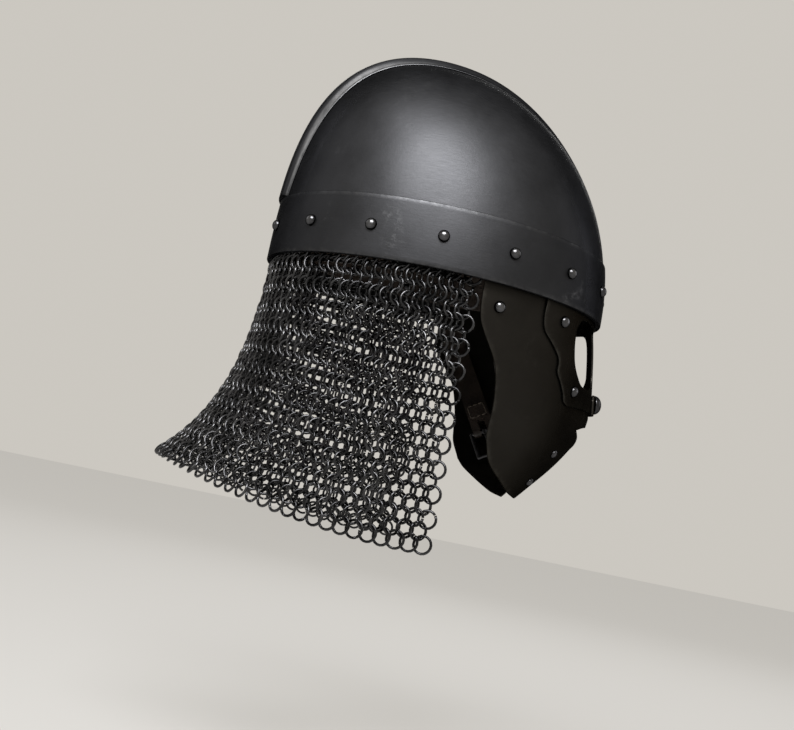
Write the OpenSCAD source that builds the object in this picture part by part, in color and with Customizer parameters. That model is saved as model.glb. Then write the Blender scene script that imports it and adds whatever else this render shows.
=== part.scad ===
// Spangen helmet with brow band, raised crest band, spectacle face guard and mail curtain.
// Frame: origin at the centre of the brow band's lower rim, +Z up, the face looks to -Y.
// The wearer's right is -X and the helmet mirrors across X = 0.

/* [Skull] */
// Half length of the brow band at its lower rim, outside (mm)
half_len = 115; // [100:1:125]
// Half width of the brow band at its lower rim, outside (mm)
half_wid = 102.4; // [88:0.2:112]
// Height of the skull plates above the rim, outside (mm)
skull_h = 151.4; // [130:0.2:175]
// How far the crown leans back behind the rim centre (mm)
crown_back = 24.3; // [0:0.1:35]
// Fullness of the skull curve, 2 is an ellipse (no unit)
fullness = 2.25; // [2:0.05:2.6]
// Thickness of the skull plates (mm)
skull_t = 1.6; // [1.2:0.1:2.2]
// Width of the seam between the two skull plates (mm)
seam = 0.2; // [0.1:0.1:1]

/* [Brow band] */
// Height of the brow band (mm)
band_h = 39.5; // [25:0.5:45]
// Thickness of the brow band (mm)
band_t = 1.6; // [1.2:0.1:2.4]
// Number of rivets round the brow band (pieces)
band_rivets = 15; // [11:2:21]
// Height of the rivet line above the rim (mm)
rivet_z = 19.8; // [14:0.2:26]

/* [Crest band] */
// Half width of the crest band at the crown (mm)
crest_half = 30; // [12:0.5:34]
// Half width of the crest band at the brow (mm)
crest_front = 12; // [8:0.5:20]
// Half width of the crest band at the back of the brow band (mm)
crest_back = 24; // [16:0.5:32]
// Rise of the crest band above the skull at the crown (mm)
crest_rise = 4.8; // [2:0.1:6]
// Rise of the crest band where it meets the brow band (mm)
crest_low = 1.9; // [1.5:0.1:4]
// Width of the sloping edge of the crest band (mm)
crest_edge = 5; // [1:0.1:5.5]

/* [Rivets] */
// Diameter of the domed rivet heads (mm)
head_d = 7.4; // [5:0.1:9]
// Height of the domed rivet heads (mm)
head_h = 3.4; // [1.2:0.1:3.6]
// Diameter of the rivet shanks (mm)
shank_d = 3.2; // [2.4:0.1:4]
// Diameter of the small rivet heads along the cheek plates (mm)
small_d = 6; // [4:0.1:7]
// Diameter of the large rivet head at the end of the nose strip (mm)
nose_d = 13; // [7:0.1:15]
// Height of the large rivet head at the end of the nose strip (mm)
nose_h = 5.5; // [3:0.1:7]
// Play between a rivet shank and its hole, on the radius (mm)
rivet_play = 0.05; // [0.02:0.01:0.15]

/* [Face guard] */
// Thickness of the guard plates (mm)
guard_t = 1.5; // [1.2:0.1:2.2]
// Height the guard plates reach up inside the brow band (mm)
tuck = 27; // [22:0.5:34]
// How far the nose ridge stands out per mm below the rim (mm)
ridge = 0.15; // [0:0.005:0.2]
// How far the nose strip bows out just below the rim (mm)
nose_bow = 2.5; // [0:0.1:4]
// Half width of the nose strip between the eye holes (mm)
nasal_half = 6.5; // [6:0.5:11]
// Half width from the centre to the outer end of an eye hole (mm)
eye_out = 59; // [48:0.5:61]
// Lower edge of the eye holes, below the rim (mm)
eye_low = 42.5; // [34:0.5:43]
// Gap between the stacked guard plates (mm)
plate_gap = 0.3; // [0.2:0.05:0.6]

/* [Mail] */
// Wire centre radius of a mail ring (mm)
ring_r = 5.25; // [5:0.05:5.6]
// Wire radius of a mail ring (mm)
wire_r = 0.7; // [0.5:0.05:0.8]
// Rings in the even rows (pieces)
row_count = 55; // [40:1:60]
// Number of rows from the rim to the hem (pieces)
rows = 23; // [8:1:26]
// Drop from one row to the next at the sides (mm)
drop_side = 7.4; // [6.8:0.05:7.6]
// Drop from one row to the next at the back (mm)
drop_back = 6.8; // [6.6:0.05:7.4]
// Lean of alternate rings out of the face of the mail (degrees)
lean = 25; // [22:1:32]
// Outward slope of the mail at the back, under the rim (degrees)
flare_top = 2; // [0:1:20]
// Extra outward slope of the mail at the back of the hem (degrees)
flare_hem = 48; // [0:1:60]
// Where the front edges of the mail hang, forward of the centre (mm)
mail_front = 11.5; // [0:0.5:14]

/* [Lining and strap] */
// Thickness of the leather lining band (mm)
liner_t = 2; // [1.5:0.1:3]
// Number of crown tongues (pieces)
tongues = 8; // [6:1:10]
// Width of the chin strap (mm)
strap_w = 16; // [12:0.5:20]
// Thickness of the chin strap leather (mm)
strap_t = 1.8; // [1.4:0.1:2.4]
// Diameter of the buckle wire (mm)
buckle_d = 2.6; // [2:0.1:3.2]
// Running play between the buckle bar and what turns on it, on the radius (mm)
pin_play = 0.06; // [0.03:0.01:0.1]

/* [Hidden] */
T_STEP = 7.5;
T_COUNT = 48;
HALF_COLS = T_COUNT / 2;
SKULL_ROWS = 14;
LAYER = 0.15;
INNER_GAP = 0.55;
SKULL_OFF = -band_t - LAYER;
SKULL_IN = SKULL_OFF - skull_t;
OC_OFF = SKULL_IN - INNER_GAP;
OC_IN = OC_OFF - guard_t;
CH_OFF = OC_IN - plate_gap;
CH_IN = CH_OFF - guard_t;
NOSE_T = 1.6;
NOSE_OFF = OC_OFF + plate_gap + NOSE_T;
LINER_GAP = 0.4;
LINER_OFF = CH_IN - LINER_GAP;
LINER_IN = LINER_OFF - liner_t;
TONGUE_GAP = 0.35;
TONGUE_T = 1.5;
TONGUE_OFF = LINER_IN - TONGUE_GAP;
HOLE_R = shank_d / 2 + rivet_play;
FORM_H = skull_h - SKULL_OFF;
Z_ROWS = [0, band_h / 3, band_h * 2 / 3, band_h];
U_LAST = asin(pow(band_h / FORM_H, fullness / 2));
EPS = 0.01;
FINE = 72;
HOLE_FINE = 36;
DRIFT_SPAN = 155;

// The skull form: a superellipse in height whose centre drifts back towards the crown.
function drift(z) = crown_back * pow(max(z, 0) / DRIFT_SPAN, 2);
function rho(z, h) = pow(max(0, 1 - pow(max(z, 0) / h, fullness)), 1 / fullness);
function surf(t, z, off) =
    let (r = rho(z, FORM_H + off))
    [(half_wid + off) * r * sin(t), drift(z) - (half_len + off) * r * cos(t), z];

// The guard form: follows the skull above the rim, then runs down with a nose ridge and a taper.
// The ridge grows down to RIDGE_END and fades below it, and CHIN_START is where the front draws back.
RIDGE_END = 60;
RIDGE_FADE = 0.12;
RIDGE_SPREAD = 24;
BOW_REACH = 8;
CHIN_START = 62;
CHIN_CURVE = 0.0072;
CHEEK_CURVE = 0.0028;
function ridge_at(z) =
    nose_bow * (1 - exp(min(z, 0) / BOW_REACH))
    + ridge * min(max(-z, 0), RIDGE_END) - RIDGE_FADE * max(0, -z - RIDGE_END);
function guard_a(z, off) = half_len + off - CHIN_CURVE * pow(max(0, -z - CHIN_START), 2);
function guard_b(z, off) = half_wid + off - CHEEK_CURVE * z * z;
function guard(t, z, off) = z >= 0 ? surf(t, z, off) :
    let (x = guard_b(z, off) * sin(t))
    [x, -guard_a(z, off) * cos(t) - ridge_at(z) * exp(-pow(x / RIDGE_SPREAD, 2)), z];

function unit(v) = v / norm(v);
function surf_n(t, z) =
    unit(cross(surf(t + 0.5, z, 0) - surf(t - 0.5, z, 0), surf(t, z + 0.5, 0) - surf(t, z - 0.5, 0)));
function guard_n(t, z) =
    unit(cross(guard(t + 0.5, z, 0) - guard(t - 0.5, z, 0), guard(t, z + 0.5, 0) - guard(t, z - 0.5, 0)));

// Turns the Z axis of what is drawn onto the direction n.
module face_to(n) {
    rotate([0, acos(n[2]), atan2(n[1], n[0])])
        children();
}

// A closed sheet between an outer and an inner grid of points with the same rows and columns.
module sheet(outer, inner) {
    nr = len(outer);
    nc = len(outer[0]);
    k = nr * nc;
    pts = concat([for (r = outer) for (p = r) p], [for (r = inner) for (p = r) p]);
    grid = [for (i = [0:nr - 2]) for (j = [0:nc - 2])
        [i * nc + j, i * nc + j + 1, (i + 1) * nc + j + 1, (i + 1) * nc + j]];
    face_a = [for (q = grid) for (f = [[q[0], q[2], q[1]], [q[0], q[3], q[2]]]) f];
    face_b = [for (q = grid) for (f = [[q[0], q[1], q[2]], [q[0], q[2], q[3]]]) f + [k, k, k]];
    rim_i = concat(
        [for (j = [0:nc - 2]) [j, j + 1]],
        [for (i = [0:nr - 2]) [i * nc + nc - 1, (i + 1) * nc + nc - 1]],
        [for (j = [nc - 1:-1:1]) [(nr - 1) * nc + j, (nr - 1) * nc + j - 1]],
        [for (i = [nr - 1:-1:1]) [i * nc, (i - 1) * nc]]);
    face_c = [for (e = rim_i) for (f = [[e[0], e[1], e[1] + k], [e[0], e[1] + k, e[0] + k]]) f];
    polyhedron(pts, concat(face_a, face_b, face_c));
}

// A closed hoop between an outer and an inner grid whose columns run all the way round.
module hoop(outer, inner) {
    nr = len(outer);
    nc = len(outer[0]);
    k = nr * nc;
    pts = concat([for (r = outer) for (p = r) p], [for (r = inner) for (p = r) p]);
    grid = [for (i = [0:nr - 2]) for (j = [0:nc - 1])
        [i * nc + j, i * nc + (j + 1) % nc, (i + 1) * nc + (j + 1) % nc, (i + 1) * nc + j]];
    face_a = [for (q = grid) for (f = [[q[0], q[2], q[1]], [q[0], q[3], q[2]]]) f];
    face_b = [for (q = grid) for (f = [[q[0], q[1], q[2]], [q[0], q[2], q[3]]]) f + [k, k, k]];
    low = [for (j = [0:nc - 1]) [j, (j + 1) % nc]];
    top = [for (j = [0:nc - 1]) [(nr - 1) * nc + (j + 1) % nc, (nr - 1) * nc + j]];
    face_c = [for (e = concat(low, top)) for (f = [[e[0], e[1], e[1] + k], [e[0], e[1] + k, e[0] + k]]) f];
    polyhedron(pts, concat(face_a, face_b, face_c));
}

// Rivet angles equally spaced along the rim.
RIM_TABLE = [for (i = 0, s = 0; i <= 180;
    s = s + norm(surf(i * 2 + 2, 0, 0) - surf(i * 2, 0, 0)), i = i + 1) [s, i * 2]];
RIM_LEN = RIM_TABLE[180][0];
function rivet_t(i) = lookup(RIM_LEN * i / band_rivets, RIM_TABLE);

// One domed rivet drawn along Z: the head sits on z = 0 and the shank runs down by the grip.
// Its inner end is set down to a flat disc, set_d wide.
SET_H = 0.9;
SET_GAP = 0.3;
SET_SHARE = 0.84;
CURVE_GAP = 0.4;
HEAD_GAP = 0.08;
module rivet(d, h, grip, set_d) {
    ball = (d * d / 4 + h * h) / (2 * h);
    translate([0, 0, HEAD_GAP])
        intersection() {
            translate([0, 0, h - ball])
                sphere(ball, $fn = FINE);
            cylinder(h = h + 1, d = d + 1, $fn = FINE);
        }
    translate([0, 0, -grip - SET_GAP - SET_H / 2])
        cylinder(h = grip + SET_GAP + SET_H / 2 + h / 4, d = shank_d, $fn = HOLE_FINE);
    translate([0, 0, -grip - SET_GAP - SET_H])
        cylinder(h = SET_H, d = set_d, $fn = HOLE_FINE);
}

module at_band(i) {
    t = rivet_t(i);
    translate(surf(t, rivet_z, 0))
        face_to(surf_n(t, rivet_z))
            children();
}

DRILL = 16;
module band_holes() {
    for (i = [0:band_rivets - 1])
        at_band(i)
            cylinder(h = 2 * DRILL, r = HOLE_R, center = true, $fn = HOLE_FINE);
}

// One half of the skull, side = -1 for the wearer's right and 1 for the left.
// The lowest rows are the brow band's, and the last one stops just short of the pole.
POLE_STOP = 2.2;
BAND_ROWS = len(Z_ROWS);
function row_u(v) = U_LAST + (90 - U_LAST - POLE_STOP) * v;
function skull_z(i, h) =
    h * pow(sin(row_u((i - BAND_ROWS + 1) / (SKULL_ROWS - BAND_ROWS + 1))), 2 / fullness);
function skull_pt(i, t, off) = surf(t, i < BAND_ROWS ? Z_ROWS[i] : skull_z(i, FORM_H + off), off);
module skull_half(side) {
    difference() {
        translate([side * seam / 2, 0, 0])
            sheet(
                [for (i = [0:SKULL_ROWS]) [for (j = [0:HALF_COLS])
                    skull_pt(i, side > 0 ? j * T_STEP : 180 + j * T_STEP, SKULL_OFF)]],
                [for (i = [0:SKULL_ROWS]) [for (j = [0:HALF_COLS])
                    skull_pt(i, side > 0 ? j * T_STEP : 180 + j * T_STEP, SKULL_IN)]]);
        band_holes();
    }
}

module brow_band() {
    difference() {
        hoop(
            [for (z = Z_ROWS) [for (j = [0:T_COUNT - 1]) surf(j * T_STEP, z, 0)]],
            [for (z = Z_ROWS) [for (j = [0:T_COUNT - 1]) surf(j * T_STEP, z, -band_t)]]);
        band_holes();
    }
}

// Crest band: w runs from the brow (0) over the crown (90) to the back (180), x is sideways.
function crest_pt(w, x, off) =
    let (a = half_len + off, b = half_wid + off, h = FORM_H + off)
    let (zt = h * pow(1 - pow(abs(x) / b, fullness), 1 / fullness))
    let (z = zt * pow(sin(w), 2 / fullness))
    let (r = rho(z, h), yy = a * sqrt(max(0, r * r - x * x / (b * b))))
    [x, drift(z) - (w <= 90 ? 1 : -1) * yy, z];
// Its ends stop CREST_CLEAR above the brow band, and its underside is welded CREST_GAP off the skull.
// It narrows behind w = CREST_NARROW, and its rise builds up from the brow between the CREST_FADE angles.
CREST_CLEAR = 1.8;
CREST_GAP = 0.3;
CREST_ROWS = 44;
CREST_COLS = 10;
CREST_NARROW = 130;
CREST_FADE = [35, 80];
RIM_T = 1;
W0 = asin(pow((band_h + CREST_CLEAR) / FORM_H, fullness / 2));
function crest_w(i) = W0 + (180 - 2 * W0) * i / CREST_ROWS;
function crest_hw(w) = w < 90
    ? crest_half + (crest_front - crest_half) * pow((90 - w) / 90, 1.3)
    : crest_half + (crest_back - crest_half) * pow(max(0, w - CREST_NARROW) / (180 - W0 - CREST_NARROW), 1.5);
function crest_fade(w) = min(max((w - CREST_FADE[0]) / (CREST_FADE[1] - CREST_FADE[0]), 0), 1);
function crest_up(w) =
    let (f = crest_fade(w))
    crest_low + (crest_rise - crest_low) * (w < 90 ? f * f * (3 - 2 * f) : pow(sin(w), 0.35));
function crest_x(w, j) =
    let (hw = crest_hw(w), flat = hw - crest_edge)
    j == 0 ? -hw : j == CREST_COLS ? hw : flat * (j / (CREST_COLS / 2) - 1) / (1 - 2 / CREST_COLS);
module crest_band() {
    sheet(
        [for (i = [0:CREST_ROWS]) [for (j = [0:CREST_COLS]) let (w = crest_w(i))
            crest_pt(w, crest_x(w, j), SKULL_OFF + (j % CREST_COLS == 0 ? RIM_T : crest_up(w)))]],
        [for (i = [0:CREST_ROWS]) [for (j = [0:CREST_COLS]) let (w = crest_w(i))
            crest_pt(w, crest_x(w, j), SKULL_OFF + CREST_GAP)]]);
}

// Spectacle plate, cut by the two eye holes. OC_REAR gives the angle of its rear edge at each height.
OC_HALF = 16;
OC_REAR = [[-60, 32], [-58.5, 32], [-55.4, 36.5], [-47, 40.2], [-39, 44.1], [-32, 45], [-24.5, 50.8],
    [-15, 55.9], [0, 56.2], [40, 56.2]];
OC_Z = [-58.5, -55.4, -51, -47, -43, -39, -35.5, -32, -28, -24.5, -20, -15, -8, 0, 13, tuck];
function oc_t(z, j) = let (v = j / OC_HALF) lookup(z, OC_REAR) * sign(v) * pow(abs(v), 1.15);
EYE = [[nasal_half, -7], [nasal_half + 3, -3.4], [nasal_half + 14, -2.2], [eye_out - 14, -2.2],
    [eye_out - 4, -4], [eye_out, -9.5], [eye_out - 0.5, -17.5], [eye_out - 3, -25], [eye_out - 7, -32],
    [eye_out - 14, -eye_low + 4.6], [eye_out - 24, -eye_low], [nasal_half + 14, -eye_low],
    [nasal_half + 5, -eye_low + 3], [nasal_half + 0.6, -eye_low + 9], [nasal_half, -eye_low + 14]];
module eye_hole() {
    translate([0, -half_len / 2, 0])
        rotate([90, 0, 0])
            linear_extrude(half_len)
                polygon(EYE);
}
// Rivet places on the guard, each an angle from the face and a height.
SIDE_RIVET = [46.3, -9.8];
LOWER_RIVET = [29.7, -48.6];
NOSE_Z = -49.5;
module at_guard(t, z, off) {
    translate(guard(t, z, off))
        face_to(guard_n(t, z))
            children();
}
module guard_hole(t, z, off) {
    at_guard(t, z, off)
        cylinder(h = DRILL, r = HOLE_R, center = true, $fn = HOLE_FINE);
}
module spectacle_plate() {
    difference() {
        sheet(
            [for (z = OC_Z) [for (j = [-OC_HALF:OC_HALF]) guard(oc_t(z, j), z, OC_OFF)]],
            [for (z = OC_Z) [for (j = [-OC_HALF:OC_HALF]) guard(oc_t(z, j), z, OC_IN)]]);
        eye_hole();
        mirror([1, 0, 0])
            eye_hole();
        band_holes();
        for (s = [-1, 1]) {
            guard_hole(s * SIDE_RIVET[0], SIDE_RIVET[1], OC_OFF);
            guard_hole(s * LOWER_RIVET[0], LOWER_RIVET[1], OC_OFF);
        }
        guard_hole(0, NOSE_Z, NOSE_OFF);
    }
}

// Small plate that closes the end of the nose strip.
NOSE_ROWS = [-57.5, -54, -50, -46, -43.5];
NOSE_STEP = 1.45;
module nose_plate() {
    difference() {
        sheet(
            [for (z = NOSE_ROWS) [for (j = [-4:4]) guard(j * NOSE_STEP, z, NOSE_OFF)]],
            [for (z = NOSE_ROWS) [for (j = [-4:4]) guard(j * NOSE_STEP, z, NOSE_OFF - NOSE_T)]]);
        guard_hole(0, NOSE_Z, NOSE_OFF);
    }
}

// Cheek plates: for each height the angle of the front edge and of the rear edge.
CH_Z = [-123.2, -121, -117, -112, -107, -101.8, -96, -90.7, -85, -80, -76, -73, -70.4, -68, -66, -58,
    -50.5, -48, -46.5, -45, -42, -38, -34, -29.5, -20, -10, 0, 13, tuck];
CH_REAR = [[-123.2, 27.3], [-121, 33.5], [-117, 42.4], [-112, 50.5], [-107, 56.8], [-101.8, 60.8],
    [-90.7, 65.2], [-81.7, 66.8], [-69.4, 67.2], [-52.5, 69.4], [-42.6, 71.9], [-29.5, 76.9],
    [-20, 79.3], [-2.7, 80.1],
    [40, 80.1]];
CH_FRONT = [[-123.2, 23.2], [-114.7, 22.9], [-108, 21.3], [-97, 17.5], [-85, 13.1], [-80, 9.9],
    [-76, 10.4], [-70.4, 14.9], [-68, 7], [-66, 0.12], [-48, 0.12], [-46.5, 6], [-45, 19], [-42, 30],
    [-38, 34.5], [-34, 37.5], [-29.5, 39.5], [-20, 41], [40, 41]];
STRAP_RIVET = [73.5, -13.2];
CHEEK_RIVETS = [[25.6, -89.7], [27.2, -110.6]];
CH_COLS = 14;
function ch_t(z, j) =
    let (f = lookup(z, CH_FRONT), r = lookup(z, CH_REAR))
    f + (r - f) * pow(j / CH_COLS, f < 5 ? 1.5 : 1.1);
function ch_grid(side, off) = [for (z = CH_Z) [for (j = [0:CH_COLS])
    guard(side * ch_t(z, side > 0 ? j : CH_COLS - j), z, off)]];
module cheek_plate(side) {
    difference() {
        sheet(ch_grid(side, CH_OFF), ch_grid(side, CH_IN));
        band_holes();
        guard_hole(side * SIDE_RIVET[0], SIDE_RIVET[1], OC_OFF);
        guard_hole(side * LOWER_RIVET[0], LOWER_RIVET[1], OC_OFF);
        guard_hole(0, NOSE_Z, NOSE_OFF);
        for (p = concat([STRAP_RIVET], CHEEK_RIVETS))
            guard_hole(side * p[0], p[1], CH_OFF);
    }
}

// Lining band of leather with crown tongues drawn together by a lace.
LINER_ROWS = [11, 17.5, 24, 32];
module liner_band() {
    difference() {
        hoop(
            [for (z = LINER_ROWS) [for (j = [0:T_COUNT - 1]) surf(j * T_STEP, z, LINER_OFF)]],
            [for (z = LINER_ROWS) [for (j = [0:T_COUNT - 1]) surf(j * T_STEP, z, LINER_IN)]]);
        band_holes();
    }
}
// A tongue narrows from its foot to the lace, where its end is rolled into a sleeve.
LACE_Z = 118;
LACE_R = 1.1;
SLEEVE_R = 2.6;
SLEEVE_BORE = 1.6;
SLEEVE_LEN = 8;
LACE_OFF = TONGUE_OFF - SLEEVE_BORE;
FOOT_Z = 25;
FOOT_HALF = 15;
TIP_HALF = 4.5;
ARC_MM = 1.9;
function tongue_z(v) = FOOT_Z + (LACE_Z - FOOT_Z) * sin(90 * v);
function tongue_turn(v) =
    (FOOT_HALF + (TIP_HALF - FOOT_HALF) * v) / ARC_MM / max(0.35, rho(tongue_z(v), FORM_H - 10));
function tongue_grid(t, off) = [for (i = [0:10]) [for (j = [-2:2])
    surf(t + j / 2 * tongue_turn(i / 10), tongue_z(i / 10), off)]];
module lace_sleeve(t, len, r) {
    translate(surf(t, LACE_Z, LACE_OFF))
        face_to(unit(surf(t + 1, LACE_Z, TONGUE_OFF) - surf(t - 1, LACE_Z, TONGUE_OFF)))
            cylinder(h = len, r = r, center = true, $fn = HOLE_FINE);
}
module tongue(t) {
    difference() {
        union() {
            sheet(tongue_grid(t, TONGUE_OFF), tongue_grid(t, TONGUE_OFF - TONGUE_T));
            lace_sleeve(t, SLEEVE_LEN, SLEEVE_R);
        }
        lace_sleeve(t, 2.5 * SLEEVE_LEN, SLEEVE_BORE);
    }
}
module crown_lace() {
    n = 48;
    m = 6;
    pts = [for (i = [0:n - 1]) let (t = 360 * i / n, p = surf(t, LACE_Z, LACE_OFF),
        d = unit(surf(t + 1, LACE_Z, LACE_OFF) - surf(t - 1, LACE_Z, LACE_OFF)), s = [d[1], -d[0], 0])
        for (j = [0:m - 1]) p + [0, 0, LACE_R * sin(60 * j)] + s * LACE_R * cos(60 * j)];
    polyhedron(pts, [for (i = [0:n - 1]) for (j = [0:m - 1]) for (f = [
        [i * m + j, i * m + (j + 1) % m, ((i + 1) % n) * m + (j + 1) % m],
        [i * m + j, ((i + 1) % n) * m + (j + 1) % m, ((i + 1) % n) * m + j]]) f]);
}

// Mail: tau is the angle from the back, k the row. The top row sits TOP_Z above the rim, inside the plates.
TOP_Z = 1;
TOP_SLOPE = 12;
BACK_INSET = 6.9;
SIDE_INSET = 7;
FIRST_STEP = 1.4;
SIDE_STEP = 0.45;
FLARE_POWER = 1.8;
BACK_SHARE = 1.8;
TABLE_N = 40;
function slope_back(k) = k < 1 ? TOP_SLOPE : flare_top + flare_hem * pow(k / 22, FLARE_POWER);
BACK_PATH = [for (k = 0, y = half_len - BACK_INSET, z = TOP_Z; k <= rows + 1;
    y = y + drop_back * sin(slope_back(k)), z = z - drop_back * cos(slope_back(k)), k = k + 1) [k, y, z]];
function back_y(k) = lookup(k, [for (p = BACK_PATH) [p[0], p[1]]]);
function back_z(k) = lookup(k, [for (p = BACK_PATH) [p[0], p[2]]]);
function side_x(k) = half_wid - SIDE_INSET + (k < 1 ? k * FIRST_STEP : FIRST_STEP + (k - 1) * SIDE_STEP);
function side_z(k) = TOP_Z - k * drop_side;
function mail_pt(tau, k) =
    let (c = cos(tau), w = pow(max(0, c), BACK_SHARE))
    [side_x(k) * sin(tau), back_y(k) * c, side_z(k) + (back_z(k) - side_z(k)) * w];
function tau_end(k) = acos(-mail_front / back_y(k));
function row_table(k) = let (e = tau_end(k)) [for (i = 0, s = 0; i <= TABLE_N;
    s = s + norm(mail_pt(e * (i + 1) / TABLE_N, k) - mail_pt(e * i / TABLE_N, k)), i = i + 1)
    [s, e * i / TABLE_N]];
module ring() {
    rotate_extrude($fn = 36)
        translate([ring_r, 0])
            circle(wire_r, $fn = 18);
}
module mail_row(k) {
    tab = row_table(k);
    pitch = 2 * tab[TABLE_N][0] / (row_count - 1);
    odd = k % 2;
    for (i = [0:row_count - 1 - odd]) {
        s = (i - (row_count - 1 - odd) / 2) * pitch;
        tau = sign(s) * lookup(abs(s), tab);
        run = unit(mail_pt(tau + 0.5, k) - mail_pt(tau - 0.5, k));
        down = unit(mail_pt(tau, k + 0.5) - mail_pt(tau, max(0, k - 0.5)));
        side = unit(cross(run, down));
        axis = side * cos(lean) + run * sin(lean) * (odd == 0 ? 1 : -1);
        translate(mail_pt(tau, k))
            face_to(unit(axis))
                ring();
    }
}

// Hanging wire through the top row, held by staples welded inside the skull.
WIRE_UP = 0.9;
HANG_R = 0.9;
STAPLE_R = 1.95;
STAPLE_WIRE = 0.5;
STAPLE_EVERY = 6;
TAB = [1.4, 0.95, 14];
module hanging_wire() {
    n = 56;
    m = 6;
    end = tau_end(0) + 1.2;
    pts = [for (i = [0:n]) let (tau = -end + 2 * end * i / n, p = mail_pt(tau, 0),
        d = unit(mail_pt(tau + 0.5, 0) - mail_pt(tau - 0.5, 0)), s = [d[1], -d[0], 0])
        for (j = [0:m - 1]) p + [0, 0, WIRE_UP + HANG_R * sin(60 * j)] + s * HANG_R * cos(60 * j)];
    skin = [for (i = [0:n - 1]) for (j = [0:m - 1]) for (f = [
        [i * m + j, i * m + (j + 1) % m, (i + 1) * m + (j + 1) % m],
        [i * m + j, (i + 1) * m + (j + 1) % m, (i + 1) * m + j]]) f];
    ends = [[for (j = [m - 1:-1:0]) j], [for (j = [0:m - 1]) n * m + j]];
    polyhedron(pts, concat(skin, ends));
}
module wire_staples() {
    tab = row_table(0);
    pitch = 2 * tab[TABLE_N][0] / (row_count - 1);
    for (i = [2:STAPLE_EVERY:row_count - 3]) {
        s = (i - (row_count - 1) / 2) * pitch;
        tau = sign(s) * lookup(abs(s), tab);
        d = unit(mail_pt(tau + 0.5, 0) - mail_pt(tau - 0.5, 0));
        translate(mail_pt(tau, 0) + [0, 0, WIRE_UP])
            rotate([0, 0, atan2(d[1], d[0])]) {
                rotate([0, 90, 0])
                    rotate_extrude($fn = 36)
                        translate([STAPLE_R, 0])
                            circle(STAPLE_WIRE, $fn = 18);
                translate([-TAB[0] / 2, STAPLE_R - 0.2, 0])
                    cube(TAB);
            }
    }
}

// Chin strap: drawn along +X from its rivet, thickness along Z, then hung on the cheek plate.
STRAP_LEN = 84;
STRAP_GAP = 0.65;
STRAP_ROOT = 9;
STRAP_AIM = [47, -66, -88];
BAR_R = buckle_d / 2;
LOOP_R = BAR_R + pin_play;
FRAME_W = 19.5;
FRAME_L = 19;
FOLD_LEN = 22;
SEWN_LEN = 12;
PRONG_SLOT = 4.8;
SLOT_BACK = 8;
TAIL_EXTRA = 8;
PUNCH_R = 1.5;
PUNCH_STEP = 9;
PUNCH_FIRST = 30;
PRONG_R = 1;
PRONG_EYE_W = 3;
PRONG_LEN = FRAME_L + 1.2;
JOIN = 0.25;
function strap_p(side) = guard(side * STRAP_RIVET[0], STRAP_RIVET[1], CH_OFF)
    - guard_n(side * STRAP_RIVET[0], STRAP_RIVET[1]) * (guard_t + STRAP_GAP);
function strap_aim(side) = [side * STRAP_AIM[0], STRAP_AIM[1], STRAP_AIM[2]];
function strap_run(side) =
    let (n = guard_n(side * STRAP_RIVET[0], STRAP_RIVET[1]), v = strap_aim(side) - strap_p(side))
    unit(v - n * (n * v));
function strap_bend(side) =
    let (n = guard_n(side * STRAP_RIVET[0], STRAP_RIVET[1]))
    asin(-n * unit(strap_aim(side) - strap_p(side) - strap_run(side) * STRAP_ROOT));
module strap_place(side) {
    n = guard_n(side * STRAP_RIVET[0], STRAP_RIVET[1]);
    x = strap_run(side);
    y = cross(n, x);
    p = strap_p(side);
    multmatrix([[x[0], y[0], n[0], p[0]], [x[1], y[1], n[1], p[1]], [x[2], y[2], n[2], p[2]], [0, 0, 0, 1]])
        children();
}
// Moves to the part of the strap beyond its bend.
module strap_bent() {
    translate([STRAP_ROOT, 0, 0])
        rotate([0, strap_bend(1), 0])
            translate([-STRAP_ROOT, 0, 0])
                children();
}
module strap_hole() {
    cylinder(h = DRILL, r = HOLE_R, center = true, $fn = HOLE_FINE);
}
module strap_root() {
    translate([0, -strap_w / 2, -strap_t])
        cube([STRAP_ROOT + JOIN, strap_w, strap_t]);
    translate([0, 0, -strap_t])
        cylinder(h = strap_t, d = strap_w, $fn = FINE);
}
module strap_run_out(len) {
    translate([STRAP_ROOT - JOIN, -strap_w / 2, -strap_t])
        cube([len - STRAP_ROOT + JOIN, strap_w, strap_t]);
}
module strap_buckle_side() {
    difference() {
        strap_root();
        strap_hole();
    }
    strap_bent()
        difference() {
            union() {
                strap_run_out(STRAP_LEN);
                translate([STRAP_LEN, 0, -LOOP_R - strap_t])
                    rotate([90, 0, 0])
                        cylinder(h = strap_w, r = LOOP_R + strap_t, center = true, $fn = FINE);
                translate([STRAP_LEN - FOLD_LEN, -strap_w / 2, -2 * LOOP_R - 2 * strap_t])
                    cube([FOLD_LEN, strap_w, strap_t]);
                translate([STRAP_LEN - FOLD_LEN, -strap_w / 2, -2 * LOOP_R - strap_t - EPS])
                    cube([SEWN_LEN, strap_w, 2 * LOOP_R + 2 * EPS]);
            }
            translate([STRAP_LEN, 0, -LOOP_R - strap_t])
                rotate([90, 0, 0])
                    cylinder(h = strap_w + 2, r = LOOP_R, center = true, $fn = FINE);
            translate([STRAP_LEN - SLOT_BACK, -PRONG_SLOT / 2, -DRILL / 2])
                cube([DRILL, PRONG_SLOT, DRILL]);
        }
}
module strap_tongue_side() {
    difference() {
        strap_root();
        strap_hole();
    }
    strap_bent()
        difference() {
            union() {
                strap_run_out(STRAP_LEN + TAIL_EXTRA);
                translate([STRAP_LEN + TAIL_EXTRA, 0, -strap_t])
                    cylinder(h = strap_t, d = strap_w, $fn = FINE);
            }
            for (i = [0:4])
                translate([STRAP_LEN - PUNCH_FIRST + i * PUNCH_STEP, 0, 0])
                    cylinder(h = DRILL, r = PUNCH_R, center = true, $fn = HOLE_FINE);
        }
}
module buckle_space() {
    strap_bent()
        translate([STRAP_LEN, 0, -LOOP_R - strap_t])
            children();
}
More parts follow.
